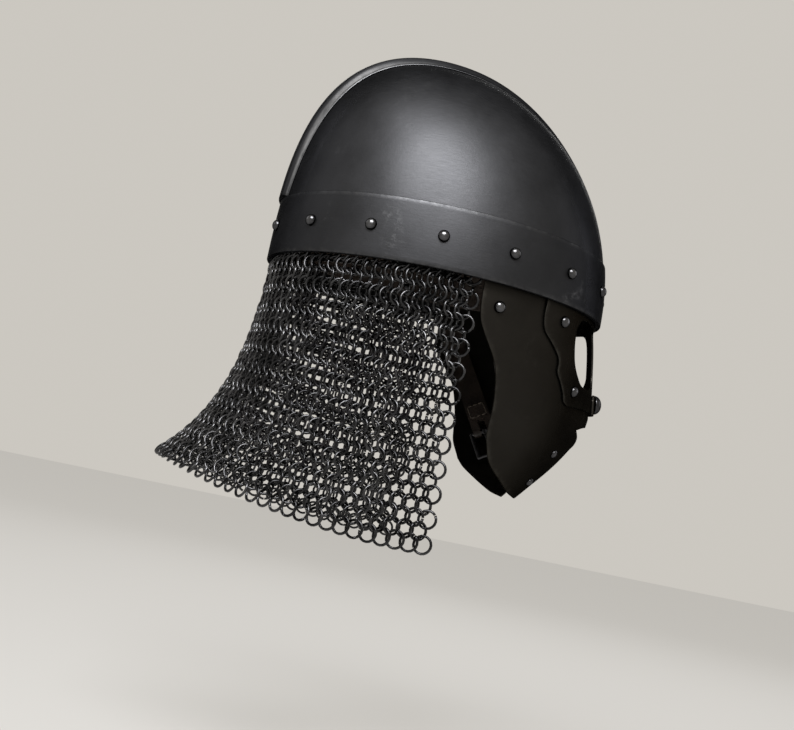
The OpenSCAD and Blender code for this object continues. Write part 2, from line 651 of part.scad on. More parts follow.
module buckle_frame() {
    for (x = [0, FRAME_L])
        translate([x, 0, 0])
            rotate([90, 0, 0])
                cylinder(h = FRAME_W, r = BAR_R, center = true, $fn = FINE);
    for (y = [-FRAME_W / 2, FRAME_W / 2])
        translate([0, y, 0])
            rotate([0, 90, 0])
                cylinder(h = FRAME_L, r = BAR_R, $fn = FINE);
    for (x = [0, FRAME_L])
        for (y = [-FRAME_W / 2, FRAME_W / 2])
            translate([x, y, 0])
                sphere(BAR_R, $fn = FINE);
}
module buckle_prong() {
    difference() {
        union() {
            rotate([90, 0, 0])
                cylinder(h = PRONG_EYE_W, r = BAR_R + 1.5 * PRONG_R, center = true, $fn = FINE);
            translate([0, 0, -BAR_R - 1.15 * PRONG_R])
                rotate([0, 90, 0])
                    cylinder(h = PRONG_LEN, r = PRONG_R, $fn = FINE);
            translate([PRONG_LEN, 0, -BAR_R - 1.15 * PRONG_R])
                sphere(PRONG_R, $fn = FINE);
        }
        rotate([90, 0, 0])
            cylinder(h = PRONG_EYE_W + 2, r = LOOP_R, center = true, $fn = FINE);
    }
}

module skull_right() { color([0.12, 0.13, 0.14]) skull_half(-1); }
module skull_left() { color([0.12, 0.13, 0.14]) skull_half(1); }
module band_rivet_set() {
    color([0.25, 0.26, 0.28])
        for (i = [0:band_rivets - 1])
            at_band(i)
                rivet(head_d, head_h, SET_GAP - LINER_IN, head_d * SET_SHARE);
}
module guard_rivet_set() {
    color([0.25, 0.26, 0.28])
        for (s = [-1, 1])
            for (p = [SIDE_RIVET, LOWER_RIVET])
                at_guard(s * p[0], p[1], OC_OFF)
                    rivet(head_d, head_h * 0.9, OC_OFF - CH_IN + CURVE_GAP, small_d * SET_SHARE);
}
module nose_rivet() {
    color([0.25, 0.26, 0.28])
        at_guard(0, NOSE_Z, NOSE_OFF)
            rivet(nose_d, nose_h, NOSE_OFF - CH_IN + SET_GAP, head_d * SET_SHARE);
}
module cheek_rivet_set() {
    color([0.25, 0.26, 0.28])
        for (s = [-1, 1])
            for (p = CHEEK_RIVETS)
                at_guard(s * p[0], p[1], CH_OFF)
                    rivet(small_d, small_d / 3, guard_t + CURVE_GAP, small_d * SET_SHARE);
}
module strap_rivet_set() {
    color([0.25, 0.26, 0.28])
        for (s = [-1, 1])
            at_guard(s * STRAP_RIVET[0], STRAP_RIVET[1], CH_OFF)
                rivet(head_d, head_h, guard_t + STRAP_GAP + strap_t, head_d * SET_SHARE);
}
module crown_tongue_set() {
    color([0.3, 0.2, 0.12])
        for (i = [0:tongues - 1])
            tongue((i + 0.5) * 360 / tongues);
}
module mail_pair(k) {
    color([0.35, 0.36, 0.38]) {
        mail_row(k);
        if (k + 1 < rows)
            mail_row(k + 1);
    }
}

skull_right();
skull_left();
color([0.14, 0.15, 0.16]) crest_band();
color([0.15, 0.16, 0.17]) brow_band();
band_rivet_set();  // band_rivets
color([0.1, 0.1, 0.09]) spectacle_plate();
color([0.1, 0.1, 0.09]) nose_plate();
color([0.11, 0.11, 0.09]) cheek_plate(-1);  // cheek_plate_right
color([0.11, 0.11, 0.09]) cheek_plate(1);  // cheek_plate_left
guard_rivet_set();  // guard_rivets
nose_rivet();
cheek_rivet_set();  // cheek_rivets
color([0.3, 0.2, 0.12]) liner_band();
crown_tongue_set();  // crown_tongues
color([0.2, 0.15, 0.1]) crown_lace();
color([0.3, 0.3, 0.32]) hanging_wire();
color([0.3, 0.3, 0.32]) wire_staples();
color([0.28, 0.18, 0.1]) strap_place(1) strap_buckle_side();  // strap_left
color([0.28, 0.18, 0.1]) strap_place(-1) strap_tongue_side();  // strap_right
strap_rivet_set();  // strap_rivets
color([0.2, 0.2, 0.21]) strap_place(1) buckle_space() buckle_frame();
color([0.2, 0.2, 0.21]) strap_place(1) buckle_space() buckle_prong();
for (k = [0:2:rows - 1])
    mail_pair(k);
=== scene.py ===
"""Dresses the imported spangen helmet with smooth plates, rivets, mail and leather, and sets its stage."""

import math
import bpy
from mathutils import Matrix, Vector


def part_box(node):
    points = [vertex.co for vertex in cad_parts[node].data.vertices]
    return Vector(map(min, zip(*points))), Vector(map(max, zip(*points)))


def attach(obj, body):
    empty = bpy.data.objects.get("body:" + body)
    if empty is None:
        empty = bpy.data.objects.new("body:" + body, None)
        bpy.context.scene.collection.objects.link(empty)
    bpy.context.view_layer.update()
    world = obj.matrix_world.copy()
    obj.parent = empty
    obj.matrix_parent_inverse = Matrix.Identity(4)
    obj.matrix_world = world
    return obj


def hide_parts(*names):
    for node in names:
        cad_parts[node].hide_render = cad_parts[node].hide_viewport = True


bl_info = {
    "name": "Spangen Helmet",
    "version": (1, 0, 0),
    "blender": (4, 5, 0),
    "location": "View3D > Sidebar > Helmet",
    "description": "Builds the plates, rivets, mail, lining and stage of a spangen helmet",
    "category": "Object",
}

import bpy
import bmesh
import numpy as np
from mathutils import Matrix, Vector
from mathutils.geometry import delaunay_2d_cdt
from mathutils.kdtree import KDTree

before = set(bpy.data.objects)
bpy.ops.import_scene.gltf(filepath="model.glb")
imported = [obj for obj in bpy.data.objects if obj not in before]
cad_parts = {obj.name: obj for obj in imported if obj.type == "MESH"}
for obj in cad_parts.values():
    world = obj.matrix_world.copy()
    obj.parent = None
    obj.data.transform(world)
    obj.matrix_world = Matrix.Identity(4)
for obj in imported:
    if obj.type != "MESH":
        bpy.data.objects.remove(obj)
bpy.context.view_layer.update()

MM = 0.001
BODY = "helmet"
BAND_LOW, BAND_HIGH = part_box("brow_band")
HALF_LENGTH = -BAND_LOW.y / MM
HALF_WIDTH = BAND_HIGH.x / MM
BAND_HEIGHT = BAND_HIGH.z / MM

# Thicknesses and gaps, in millimetres, and the depth of each layer in from the brow band's face.
BAND_THICK = 1.6
PLATE_THICK = 1.6
GUARD_THICK = 1.5
NOSE_THICK = 1.6
LINER_THICK = 2.0
TONGUE_THICK = 1.5
LAYER = 0.15
GUARD_GAP = 0.55
PLATE_GAP = 0.3
LINER_GAP = 0.4
TONGUE_GAP = 0.35
SKULL_OUT = -BAND_THICK - LAYER
SKULL_IN = SKULL_OUT - PLATE_THICK
SPECTACLE_OUT = SKULL_IN - GUARD_GAP
SPECTACLE_IN = SPECTACLE_OUT - GUARD_THICK
CHEEK_OUT = SPECTACLE_IN - PLATE_GAP
CHEEK_IN = CHEEK_OUT - GUARD_THICK
NOSE_OUT = SPECTACLE_OUT + PLATE_GAP + NOSE_THICK
LINER_OUT = CHEEK_IN - LINER_GAP
LINER_IN = LINER_OUT - LINER_THICK
TONGUE_OUT = LINER_IN - TONGUE_GAP

# The skull's form: its height, how full its curve is and how far its crown sits back.
FORM_HEIGHT = 151.4 + BAND_THICK + LAYER
FULLNESS = 2.25
CROWN_BACK = 24.3
CROWN_BACK_HEIGHT = 155.0

# The guard's form below the rim: its sides and chin close in, and a soft ridge runs down the face.
SIDE_CLOSING = 0.0028
CHIN_CLOSING = 0.0072
CHIN_DEPTH = 62
NOSE_BOW = 2.5
NOSE_BOW_DEPTH = 8
RIDGE = 0.15
RIDGE_DEPTH = 60
RIDGE_FALL = 0.12
RIDGE_WIDTH = 24

# The guard's outlines are drawn flat. This radius turns their angles into lengths.
FLAT_RADIUS = 106.0

# Rivets: how many go round the band, and where the guard's rivets sit as (angle, height).
BAND_RIVETS = 15
RIVET_HEIGHT = 19.8
SIDE_RIVET = (46.3, -9.8)
LOWER_RIVET = (29.7, -48.6)
NOSE_RIVET_HEIGHT = -49.5
STRAP_RIVET = (73.5, -13.2)
CHEEK_RIVETS = ((25.6, -89.7), (27.2, -110.6))


def drift(z):
    """How far the skull's centre has moved back at height z."""
    return CROWN_BACK * (np.maximum(z, 0) / CROWN_BACK_HEIGHT) ** 2


def shrink(z, height):
    """How much of the rim's girth is left at height z."""
    share = np.clip(np.maximum(z, 0) / height, 0, 1)
    return np.maximum(0, 1 - share**FULLNESS) ** (1 / FULLNESS)


def sweep_angle(z):
    """Angle from the rim over the crown at which the form has reached height z, in radians."""
    return math.asin((z / FORM_HEIGHT) ** (FULLNESS / 2))


def skull_form(angle, z, off):
    """Point of the skull form: angle in degrees from the face, z in mm, off is out from the band's face."""
    a = np.radians(np.asarray(angle, float))
    z = np.asarray(z, float) + 0 * a
    r = shrink(z, FORM_HEIGHT + off)
    x = (HALF_WIDTH + off) * r * np.sin(a)
    y = drift(z) - (HALF_LENGTH + off) * r * np.cos(a)
    return np.stack([x, y, z], -1)


def guard_width(z, off):
    """Half width of the guard form at height z."""
    return HALF_WIDTH + off - SIDE_CLOSING * np.minimum(z, 0) ** 2


def guard_form(angle, z, off):
    """Point of the guard form, which is the skull form above the rim and runs down below it."""
    a = np.radians(np.asarray(angle, float))
    z = np.asarray(z, float) + 0 * a
    low = np.minimum(z, 0)
    x = guard_width(z, off) * np.sin(a)
    length = HALF_LENGTH + off - CHIN_CLOSING * np.maximum(0, -low - CHIN_DEPTH) ** 2
    ridge = (NOSE_BOW * (1 - np.exp(low / NOSE_BOW_DEPTH)) + RIDGE * np.minimum(-low, RIDGE_DEPTH)
             - RIDGE_FALL * np.maximum(0, -low - RIDGE_DEPTH))
    y = -length * np.cos(a) - ridge * np.exp(-((x / RIDGE_WIDTH) ** 2))
    below = np.stack([x, y, z], -1)
    above = skull_form(angle, np.maximum(z, 0), off)
    return np.where((z < 0)[..., None], below, above)


def crest_form(w, x, off):
    """Point of the crest band: w runs from the brow (0) over the crown (90) to the back (180)."""
    w = np.radians(np.asarray(w, float))
    a, b, h = HALF_LENGTH + off, HALF_WIDTH + off, FORM_HEIGHT + off
    top = h * (1 - (np.abs(x) / b) ** FULLNESS) ** (1 / FULLNESS)
    z = top * np.sin(w) ** (2 / FULLNESS)
    r = shrink(z, h)
    y = a * np.sqrt(np.maximum(0, r * r - (x / b) ** 2))
    return np.stack([x + 0 * w, drift(z) - np.where(w <= math.pi / 2, y, -y), z], -1)


def unit(v):
    """A vector, or each of many, at length one."""
    return v / np.linalg.norm(v, axis=-1, keepdims=True)


def outward(form, angle, z):
    """Unit normal of a form, pointing out of the helmet."""
    along = form(angle + 0.5, z, 0.0) - form(angle - 0.5, z, 0.0)
    up = form(angle, z + 0.5, 0.0) - form(angle, z - 0.5, 0.0)
    return unit(np.cross(along, up))


def run_length(points):
    """Length of a line of points from its start up to each of them."""
    return np.concatenate([[0], np.cumsum(np.linalg.norm(np.diff(points, axis=0), axis=1))])


def rim_angles(count):
    """Angles that share the rim's length equally, the first at the face."""
    steps = np.arange(0, 361)
    run = run_length(skull_form(steps, 0.0, 0.0))
    return np.interp(run[-1] * np.arange(count) / count, run, steps)


def part_way(values, start, end):
    """Zero up to start and one from end on, with a straight slope between."""
    return np.clip((values - start) / (end - start), 0, 1)


def ease(share):
    """A share from 0 to 1 with a soft start and a soft end."""
    return share * share * (3 - 2 * share)


# Mesh helpers.


def paint(obj, finish):
    """Gives an object one finish and no other."""
    obj.data.materials.clear()
    obj.data.materials.append(material(finish))


def finish_piece(obj, finish, nodes, body=BODY, smooth=True):
    """Gives a piece its finish, puts it on its body and lets it stand for CAD nodes."""
    paint(obj, finish)
    if smooth:
        obj.data.shade_smooth()
    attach(obj, body)
    if nodes:
        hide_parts(*nodes)


def new_object(name, verts, faces):
    """An object from points in millimetres and faces."""
    mesh = bpy.data.meshes.new(name)
    mesh.from_pydata([tuple(v * MM) for v in np.asarray(verts)], [], faces)
    mesh.update()
    obj = bpy.data.objects.new(name, mesh)
    bpy.context.scene.collection.objects.link(obj)
    return obj


def clean_mesh(obj, near, flat=0):
    """Joins points that are near, makes faces whole that are flat, and turns all faces out."""
    bm = bmesh.new()
    bm.from_mesh(obj.data)
    bmesh.ops.remove_doubles(bm, verts=bm.verts, dist=near)
    if flat:
        bmesh.ops.dissolve_limit(bm, angle_limit=math.radians(flat), verts=bm.verts, edges=bm.edges)
    bmesh.ops.recalc_face_normals(bm, faces=bm.faces)
    bm.to_mesh(obj.data)
    bm.free()
    return obj


def closed_object(name, verts, faces):
    """An object from a closed mesh, whichever way its faces are given."""
    return clean_mesh(new_object(name, verts, faces), 1e-6)


def merged_copy(node, name):
    """A copy of a CAD node whose loose triangles are joined and whose flat faces are whole."""
    obj = bpy.data.objects.new(name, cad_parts[node].data.copy())
    bpy.context.scene.collection.objects.link(obj)
    return clean_mesh(obj, 1e-5, 1.5)


def drop_helper(obj):
    """Removes a pattern piece once its copies are made."""
    mesh = obj.data
    bpy.data.objects.remove(obj)
    bpy.data.meshes.remove(mesh)


def apply_modifiers(obj):
    """Turns an object and its modifiers into one plain mesh."""
    depsgraph = bpy.context.evaluated_depsgraph_get()
    evaluated = obj.evaluated_get(depsgraph)
    mesh = bpy.data.meshes.new_from_object(evaluated, depsgraph=depsgraph)
    obj.modifiers.clear()
    old = obj.data
    obj.data = mesh
    bpy.data.meshes.remove(old)


def soften_edges(obj, width):
    """Rounds a plate's edges."""
    bevel = obj.modifiers.new("Edge", "BEVEL")
    bevel.width = width * MM
    bevel.segments = 2
    bevel.limit_method = "ANGLE"
    bevel.angle_limit = math.radians(50)
    bevel.use_clamp_overlap = True
    apply_modifiers(obj)


def set_float(obj, name, values):
    """Stores one number for each point, which a finish can read by name."""
    attribute = obj.data.attributes.new(name, "FLOAT", "POINT")
    attribute.data.foreach_set("value", np.asarray(values, np.float32))


def mark_wear_and_sheen(obj, loops, reach, name="edge", strength=None):
    """Stores how near each point is to lines such as a plate's worn edge, for the brightness there. On the
    crest these lines are partly a painted highlight.
    """
    points = np.concatenate(loops)
    tree = KDTree(len(points))
    for i, p in enumerate(points):
        tree.insert(p, i)
    tree.balance()
    found = [tree.find(v.co / MM)[1:] for v in obj.data.vertices]
    wear_and_sheen = np.exp(-((np.array([d for _, d in found]) / reach) ** 2))
    if strength is not None:
        wear_and_sheen = wear_and_sheen * np.concatenate(strength)[[i for i, _ in found]]
    set_float(obj, name, wear_and_sheen)


def grid_faces(rows, cols, wrap_rows=False, wrap_cols=True):
    """The faces of a grid of points, which may close on itself either way."""
    faces = []
    for i in range(rows if wrap_rows else rows - 1):
        for j in range(cols if wrap_cols else cols - 1):
            here, below = i * cols, (i + 1) % rows * cols
            k = (j + 1) % cols
            faces.append((here + j, here + k, below + k, below + j))
    return faces


def shell_from_grids(name, outer, inner, closed):
    """A closed shell between two grids of points, whose columns may run all the way round."""
    rows, cols = outer.shape[:2]
    half = rows * cols
    faces = []
    for a, b, c, d in grid_faces(rows, cols, False, closed):
        faces += [(a, b, c, d), (half + a, half + d, half + c, half + b)]
    edges = [(row * cols + j, row * cols + (j + 1) % cols)
             for j in range(cols if closed else cols - 1) for row in (0, rows - 1)]
    if not closed:
        edges += [(i * cols + col, (i + 1) * cols + col) for i in range(rows - 1) for col in (0, cols - 1)]
    faces += [(a, b, half + b, half + a) for a, b in edges]
    return closed_object(name, np.concatenate([outer.reshape(-1, 3), inner.reshape(-1, 3)]), faces)


def smooth_outline(points, corners, spacing=1.6):
    """A closed outline through the points, round except at the numbered corners."""
    p = np.asarray(points, float)
    n = len(p)
    out = []
    for i in range(n):
        a, b = p[i], p[(i + 1) % n]
        before = p[i - 1] if i not in corners else 2 * a - b
        after = p[(i + 2) % n] if (i + 1) % n not in corners else 2 * b - a
        steps = max(2, int(np.linalg.norm(b - a) / spacing))
        for s in range(steps):
            t = s / steps
            out.append(
                0.5 * (2 * a + (b - before) * t + (2 * before - 5 * a + 4 * b - after) * t * t
                       + (3 * a - before - 3 * b + after) * t**3)
            )
    return np.array(out)


def inside(loop, points):
    """Which points lie inside a closed loop."""
    x, y = points[:, 0], points[:, 1]
    hit = np.zeros(len(points), bool)
    for p, q in zip(loop, np.roll(loop, -1, axis=0)):
        cross = (q[0] - p[0]) * (y - p[1]) / (q[1] - p[1] + 1e-12) + p[0]
        hit ^= ((p[1] > y) != (q[1] > y)) & (x < cross)
    return hit


def on_plate(loops, points):
    """Which points lie inside the first loop and outside the others, which are holes."""
    keep = inside(loops[0], points)
    for hole in loops[1:]:
        keep &= ~inside(hole, points)
    return keep


# A plate's inner points: the distance between their rows and their least distance from its border,
# both as shares of their spacing.
ROW_SHARE = 0.87
BORDER_SHARE = 0.55


def plate_from_outline(name, loops, place, spacing):
    """A plate with holes: loops are flat outlines, and place(s, z, face) lays a point on the form."""
    low, high = loops[0].min(0), loops[0].max(0)
    rows = np.arange(low[1], high[1], spacing * ROW_SHARE)
    grid = np.array([(s + (spacing / 2 if k % 2 else 0), z) for k, z in enumerate(rows)
                     for s in np.arange(low[0], high[0], spacing)])
    grid = grid[on_plate(loops, grid)]
    border = np.concatenate(loops)
    gap = np.min(np.linalg.norm(grid[:, None, :] - border[None, :, :], axis=2), axis=1)
    flat = np.concatenate([border, grid[gap > spacing * BORDER_SHARE]])
    edges, start = [], 0
    for loop in loops:
        count = len(loop)
        edges += [(start + i, start + (i + 1) % count) for i in range(count)]
        start += count
    verts, _, tris, _, _, _ = delaunay_2d_cdt([Vector(p) for p in flat], edges, [], 0, 1e-5)
    verts = np.array([(v.x, v.y) for v in verts])
    tris = np.array([t for t in tris if len(t) == 3])
    tris = tris[on_plate(loops, verts[tris].mean(axis=1))]
    n = len(verts)
    faces = [tuple(t) for t in tris] + [tuple(n + t[::-1]) for t in tris]
    faces += [(a, b, n + b, n + a) for a, b in edges]
    faced = [place(verts[:, 0], verts[:, 1], face) for face in (0, 1)]
    return closed_object(name, np.concatenate(faced), faces)


def guard_place(out, back):
    """Lays flat points (arc length, height) on the guard form, on the outer or the inner face."""

    def place(s, z, face):
        return guard_form(np.degrees(s / FLAT_RADIUS), z, back if face else out)

    return place


def to_flat(points):
    """Turns (angle, height) into (arc length, height)."""
    p = np.asarray(points, float)
    return np.stack([np.radians(p[:, 0]) * FLAT_RADIUS, p[:, 1]], -1)


# Materials.


class Nodes:
    """Shorthand for filling a node tree."""

    def __init__(self, tree):
        self.tree = tree
        tree.nodes.clear()

    def add(self, kind, **values):
        node = self.tree.nodes.new(kind)
        for key, value in values.items():
            setattr(node, key, value)
        return node

    def link(self, source, socket):
        self.tree.links.new(source, socket)

    def put(self, socket, value):
        """Gives a socket a number or a colour, or links it to another node's output."""
        if isinstance(value, (int, float)):
            socket.default_value = value
        elif isinstance(value, tuple):
            socket.default_value = (*value, 1.0)
        else:
            self.link(value, socket)

    def math(self, op, a, b):
        node = self.add("ShaderNodeMath", operation=op)
        for socket, value in zip(node.inputs, (a, b)):
            self.put(socket, value)
        return node.outputs["Value"]


class Finish(Nodes):
    """Shorthand for building a material round one surface shader."""

    def __init__(self, name):
        self.material = bpy.data.materials.new(name)
        self.material.use_nodes = True
        super().__init__(self.material.node_tree)
        self.shader = self.add("ShaderNodeBsdfPrincipled")
        self.surface = self.add("ShaderNodeOutputMaterial").inputs["Surface"]
        self.link(self.shader.outputs["BSDF"], self.surface)
        self.coords = self.add("ShaderNodeTexCoord").outputs["Object"]

    def feed(self, name, value):
        """Sets or links one of the surface's own inputs."""
        self.put(self.shader.inputs[name], value)

    def noise(self, scale, detail, rough, stretch=None):
        node = self.add("ShaderNodeTexNoise")
        for name, value in (("Scale", scale), ("Detail", detail), ("Roughness", rough)):
            node.inputs[name].default_value = value
        coords = self.coords
        if stretch:
            mapping = self.add("ShaderNodeMapping")
            mapping.inputs["Scale"].default_value = stretch
            self.link(coords, mapping.inputs["Vector"])
            coords = mapping.outputs["Vector"]
        self.link(coords, node.inputs["Vector"])
        return node.outputs["Fac"]

    def ramp(self, source, low, high, start=0.0, end=1.0):
        """Maps the range from low to high onto the one from start to end."""
        node = self.add("ShaderNodeMapRange")
        for name, value in (("From Min", low), ("From Max", high), ("To Min", start), ("To Max", end)):
            node.inputs[name].default_value = value
        self.link(source, node.inputs["Value"])
        return node.outputs["Result"]

    def attribute(self, name):
        """Reads a number that the mesh stores for each point."""
        return self.add("ShaderNodeAttribute", attribute_name=name).outputs["Fac"]

    def mix(self, share, a, b):
        node = self.add("ShaderNodeMix", data_type="RGBA")
        for name, value in (("Factor", share), ("A", a), ("B", b)):
            self.put(node.inputs[name], value)
        return node.outputs["Result"]

    def bump(self, height, strength, distance):
        node = self.add("ShaderNodeBump")
        node.inputs["Strength"].default_value = strength
        node.inputs["Distance"].default_value = distance
        self.link(height, node.inputs["Height"])
        self.feed("Normal", node.outputs["Normal"])


def times(colour, factor):
    """A colour made lighter or darker."""
    return tuple(c * factor for c in colour)


def blackened_steel(name, base, wear_and_sheen, rough, grazing, dusty):
    """Satin black steel with faint mottling, dusty scuffs, a worn, brighter edge and lighter marked patches
    that are partly rubbed metal and partly a painted highlight.
    """
    m = Finish(name)
    cloud = m.noise(28.0, 6.0, 0.6)
    fine = m.noise(420.0, 4.0, 0.7)
    scuff = m.ramp(m.noise(60.0, 8.0, 0.75, stretch=(1.0, 1.0, 9.0)), 0.60, 0.74)
    tone = m.mix(m.ramp(cloud, 0.3, 0.72), base, times(base, 1.3))
    edge = m.math("MULTIPLY", m.attribute("edge"), m.ramp(m.noise(160.0, 5.0, 0.7), 0.36, 0.66))

    # Dust lies on scratches and specks, and only in some places. It isn't metal.
    place = m.ramp(m.noise(33.0, 2.0, 0.5), 0.59, 0.70)
    smear = m.math("MAXIMUM", scuff, m.ramp(m.noise(190.0, 6.0, 0.78), 0.50, 0.72))
    dust = m.math("MULTIPLY", m.math("MULTIPLY", smear, place), dusty)
    marked = m.mix(dust, tone, wear_and_sheen)
    edged = m.mix(m.math("MULTIPLY", edge, 0.22), marked, wear_and_sheen)
    # Where marked, on the crest's bevel and the rivets' tops, the colour turns lighter: partly rubbed metal,
    # partly a painted highlight.
    streak = m.ramp(m.noise(90.0, 5.0, 0.7, stretch=(3.0, 1.0, 1.0)), 0.32, 0.62, 0.35, 1.0)
    m.feed("Base Color", m.mix(m.math("MULTIPLY", m.attribute("polish_and_sheen"), streak), edged, wear_and_sheen))
    m.feed("Metallic", m.math("SUBTRACT", 1.0, dust))
    m.feed("Specular Tint", (grazing, grazing, grazing))

    brushed = m.noise(170.0, 3.0, 0.6, stretch=(1.0, 1.0, 8.0))
    mottle = m.math("ADD", m.math("MULTIPLY", cloud, 0.5), m.math("MULTIPLY", brushed, 0.5))
    roughness = m.ramp(mottle, 0.3, 0.7, rough - 0.05, rough + 0.05)
    m.feed("Roughness", m.math("SUBTRACT", roughness, m.math("MULTIPLY", edge, 0.12)))
    grain = m.math("ADD", cloud, m.math("MULTIPLY", brushed, 0.3))
    m.bump(m.math("ADD", m.math("MULTIPLY", fine, 0.35), grain), 0.20, 0.0006)
    return m.material


def ring_steel(name, base, rubbed):
    """Dark oiled wire with brighter rubbed places."""
    m = Finish(name)
    patch = m.noise(55.0, 3.0, 0.6)
    fine = m.noise(900.0, 3.0, 0.6)
    m.feed("Base Color", m.mix(m.ramp(patch, 0.42, 0.68), base, rubbed))
    m.feed("Metallic", 1.0)
    m.feed("Roughness", m.ramp(fine, 0.3, 0.7, 0.17, 0.28))
    m.bump(fine, 0.12, 0.0003)
    return m.material


def leather(name, dark, light, rough=0.62):
    """Grained leather with darker pores."""
    m = Finish(name)
    cell = m.add("ShaderNodeTexVoronoi")
    cell.inputs["Scale"].default_value = 620.0
    m.link(m.coords, cell.inputs["Vector"])
    cloud = m.noise(60.0, 5.0, 0.6)
    m.feed("Base Color", m.mix(m.ramp(cloud, 0.3, 0.7), dark, light))
    m.feed("Specular IOR Level", 0.35)
    m.feed("Roughness", m.ramp(cloud, 0.3, 0.7, rough - 0.06, rough + 0.08))
    pores = m.math("MULTIPLY", cell.outputs["Distance"], 0.8)
    m.bump(m.math("ADD", pores, m.math("MULTIPLY", cloud, 0.4)), 0.35, 0.0006)
    return m.material


def plain_metal(name, colour, rough):
    """Cast and polished metal with a light grain, for the buckle, the wire and the staples."""
    m = Finish(name)
    cloud = m.noise(240.0, 4.0, 0.6)
    m.feed("Base Color", m.mix(m.ramp(cloud, 0.35, 0.7), colour, times(colour, 0.6)))
    m.feed("Metallic", 1.0)
    m.feed("Roughness", m.ramp(cloud, 0.3, 0.7, rough - 0.05, rough + 0.08))
    m.bump(cloud, 0.1, 0.0003)
    return m.material


# Each finish: its maker, its name and its colours. Black steel has its colour, its colour for wear and for
# painted sheen, its roughness, the strength of its glancing shine and how dusty it is.
BARE_STEEL = (0.27, 0.272, 0.28)
FINISHES = {
    "skull": (blackened_steel, "Black skull steel", (0.0355, 0.036, 0.0385), BARE_STEEL, 0.455, 0.08, 0.07),
    "band": (blackened_steel, "Black band steel", (0.0318, 0.0322, 0.0345), BARE_STEEL, 0.455, 0.08, 0.22),
    "plate": (blackened_steel, "Black guard steel", (0.0205, 0.0188, 0.0165), (0.12, 0.115, 0.10),
              0.46, 0.08, 0.06),
    "rivet": (blackened_steel, "Rivet steel", (0.040, 0.040, 0.042), (0.24, 0.24, 0.25), 0.24, 0.15, 0.0),
    "ring": (ring_steel, "Mail wire", (0.019, 0.019, 0.020), (0.074, 0.074, 0.077)),
    "liner": (leather, "Lining leather", (0.016, 0.010, 0.007), (0.034, 0.022, 0.014)),
    "strap": (leather, "Strap leather", (0.012, 0.009, 0.007), (0.026, 0.018, 0.013), 0.5),
    "thread": (leather, "Waxed thread", (0.045, 0.036, 0.026), (0.075, 0.060, 0.044)),
    "lace": (leather, "Lace leather", (0.045, 0.030, 0.018), (0.080, 0.055, 0.035)),
    "buckle": (plain_metal, "Buckle steel", (0.09, 0.09, 0.095), 0.34),
    "wire": (plain_metal, "Hanging wire steel", (0.07, 0.07, 0.075), 0.36),
}
MADE = {}


def material(finish):
    """Makes each finish once."""
    if finish not in MADE:
        maker, *values = FINISHES[finish]
        MADE[finish] = maker(*values)
    return MADE[finish]


# Geometry Nodes.


def placing_tree(name):
    """A tree that sets a copy of one object on every point, facing the point's 'aim' direction."""
    tree = bpy.data.node_groups.new(name, "GeometryNodeTree")
    for label, kind in (("Geometry", "Geometry"), ("Copied piece", "Object"), ("Size variation", "Float"),
                        ("Seed", "Int"), ("Finish", "Material")):
        tree.interface.new_socket(label, in_out="INPUT", socket_type="NodeSocket" + kind)
    tree.interface.new_socket("Geometry", in_out="OUTPUT", socket_type="NodeSocketGeometry")
    n = Nodes(tree)
    given = n.add("NodeGroupInput").outputs
    result = n.add("NodeGroupOutput")
    piece = n.add("GeometryNodeObjectInfo")
    aim = n.add("GeometryNodeInputNamedAttribute", data_type="FLOAT_VECTOR")
    aim.inputs["Name"].default_value = "aim"
    align = n.add("FunctionNodeAlignRotationToVector", axis="Z")
    spin = n.add("FunctionNodeRandomValue", data_type="FLOAT")
    turn = n.add("FunctionNodeAxisAngleToRotation")
    turn.inputs["Axis"].default_value = (0, 0, 1)
    rotate = n.add("FunctionNodeRotateRotation", rotation_space="LOCAL")
    size = n.add("FunctionNodeRandomValue", data_type="FLOAT")
    place = n.add("GeometryNodeInstanceOnPoints")
    real = n.add("GeometryNodeRealizeInstances")
    paint = n.add("GeometryNodeSetMaterial")
    smallest = n.math("SUBTRACT", 1.0, given["Size variation"])
    largest = n.math("ADD", 1.0, given["Size variation"])
    for node, low, high in ((spin, 0.0, math.tau), (size, smallest, largest)):
        n.put(node.inputs[2], low)
        n.put(node.inputs[3], high)
        n.link(given["Seed"], node.inputs["Seed"])
    n.link(given["Copied piece"], piece.inputs["Object"])
    n.link(aim.outputs["Attribute"], align.inputs["Vector"])
    n.link(spin.outputs[1], turn.inputs["Angle"])
    n.link(align.outputs["Rotation"], rotate.inputs["Rotation"])
    n.link(turn.outputs["Rotation"], rotate.inputs["Rotate By"])
    n.link(given["Geometry"], place.inputs["Points"])
    n.link(piece.outputs["Geometry"], place.inputs["Instance"])
    n.link(rotate.outputs["Rotation"], place.inputs["Rotation"])
    n.link(size.outputs[1], place.inputs["Scale"])
    n.link(place.outputs["Instances"], real.inputs["Geometry"])
    n.link(real.outputs["Geometry"], paint.inputs["Geometry"])
    n.link(given["Finish"], paint.inputs["Material"])
    n.link(paint.outputs["Geometry"], result.inputs["Geometry"])
    return tree


def set_input(modifier, name, value):
    """Sets a node modifier's input by its socket's identifier."""
    for item in modifier.node_group.interface.items_tree:
        if item.item_type == "SOCKET" and item.in_out == "INPUT" and item.name == name:
            modifier[item.identifier] = value
            return
    raise RuntimeError(f"the tree has no input named {name}")


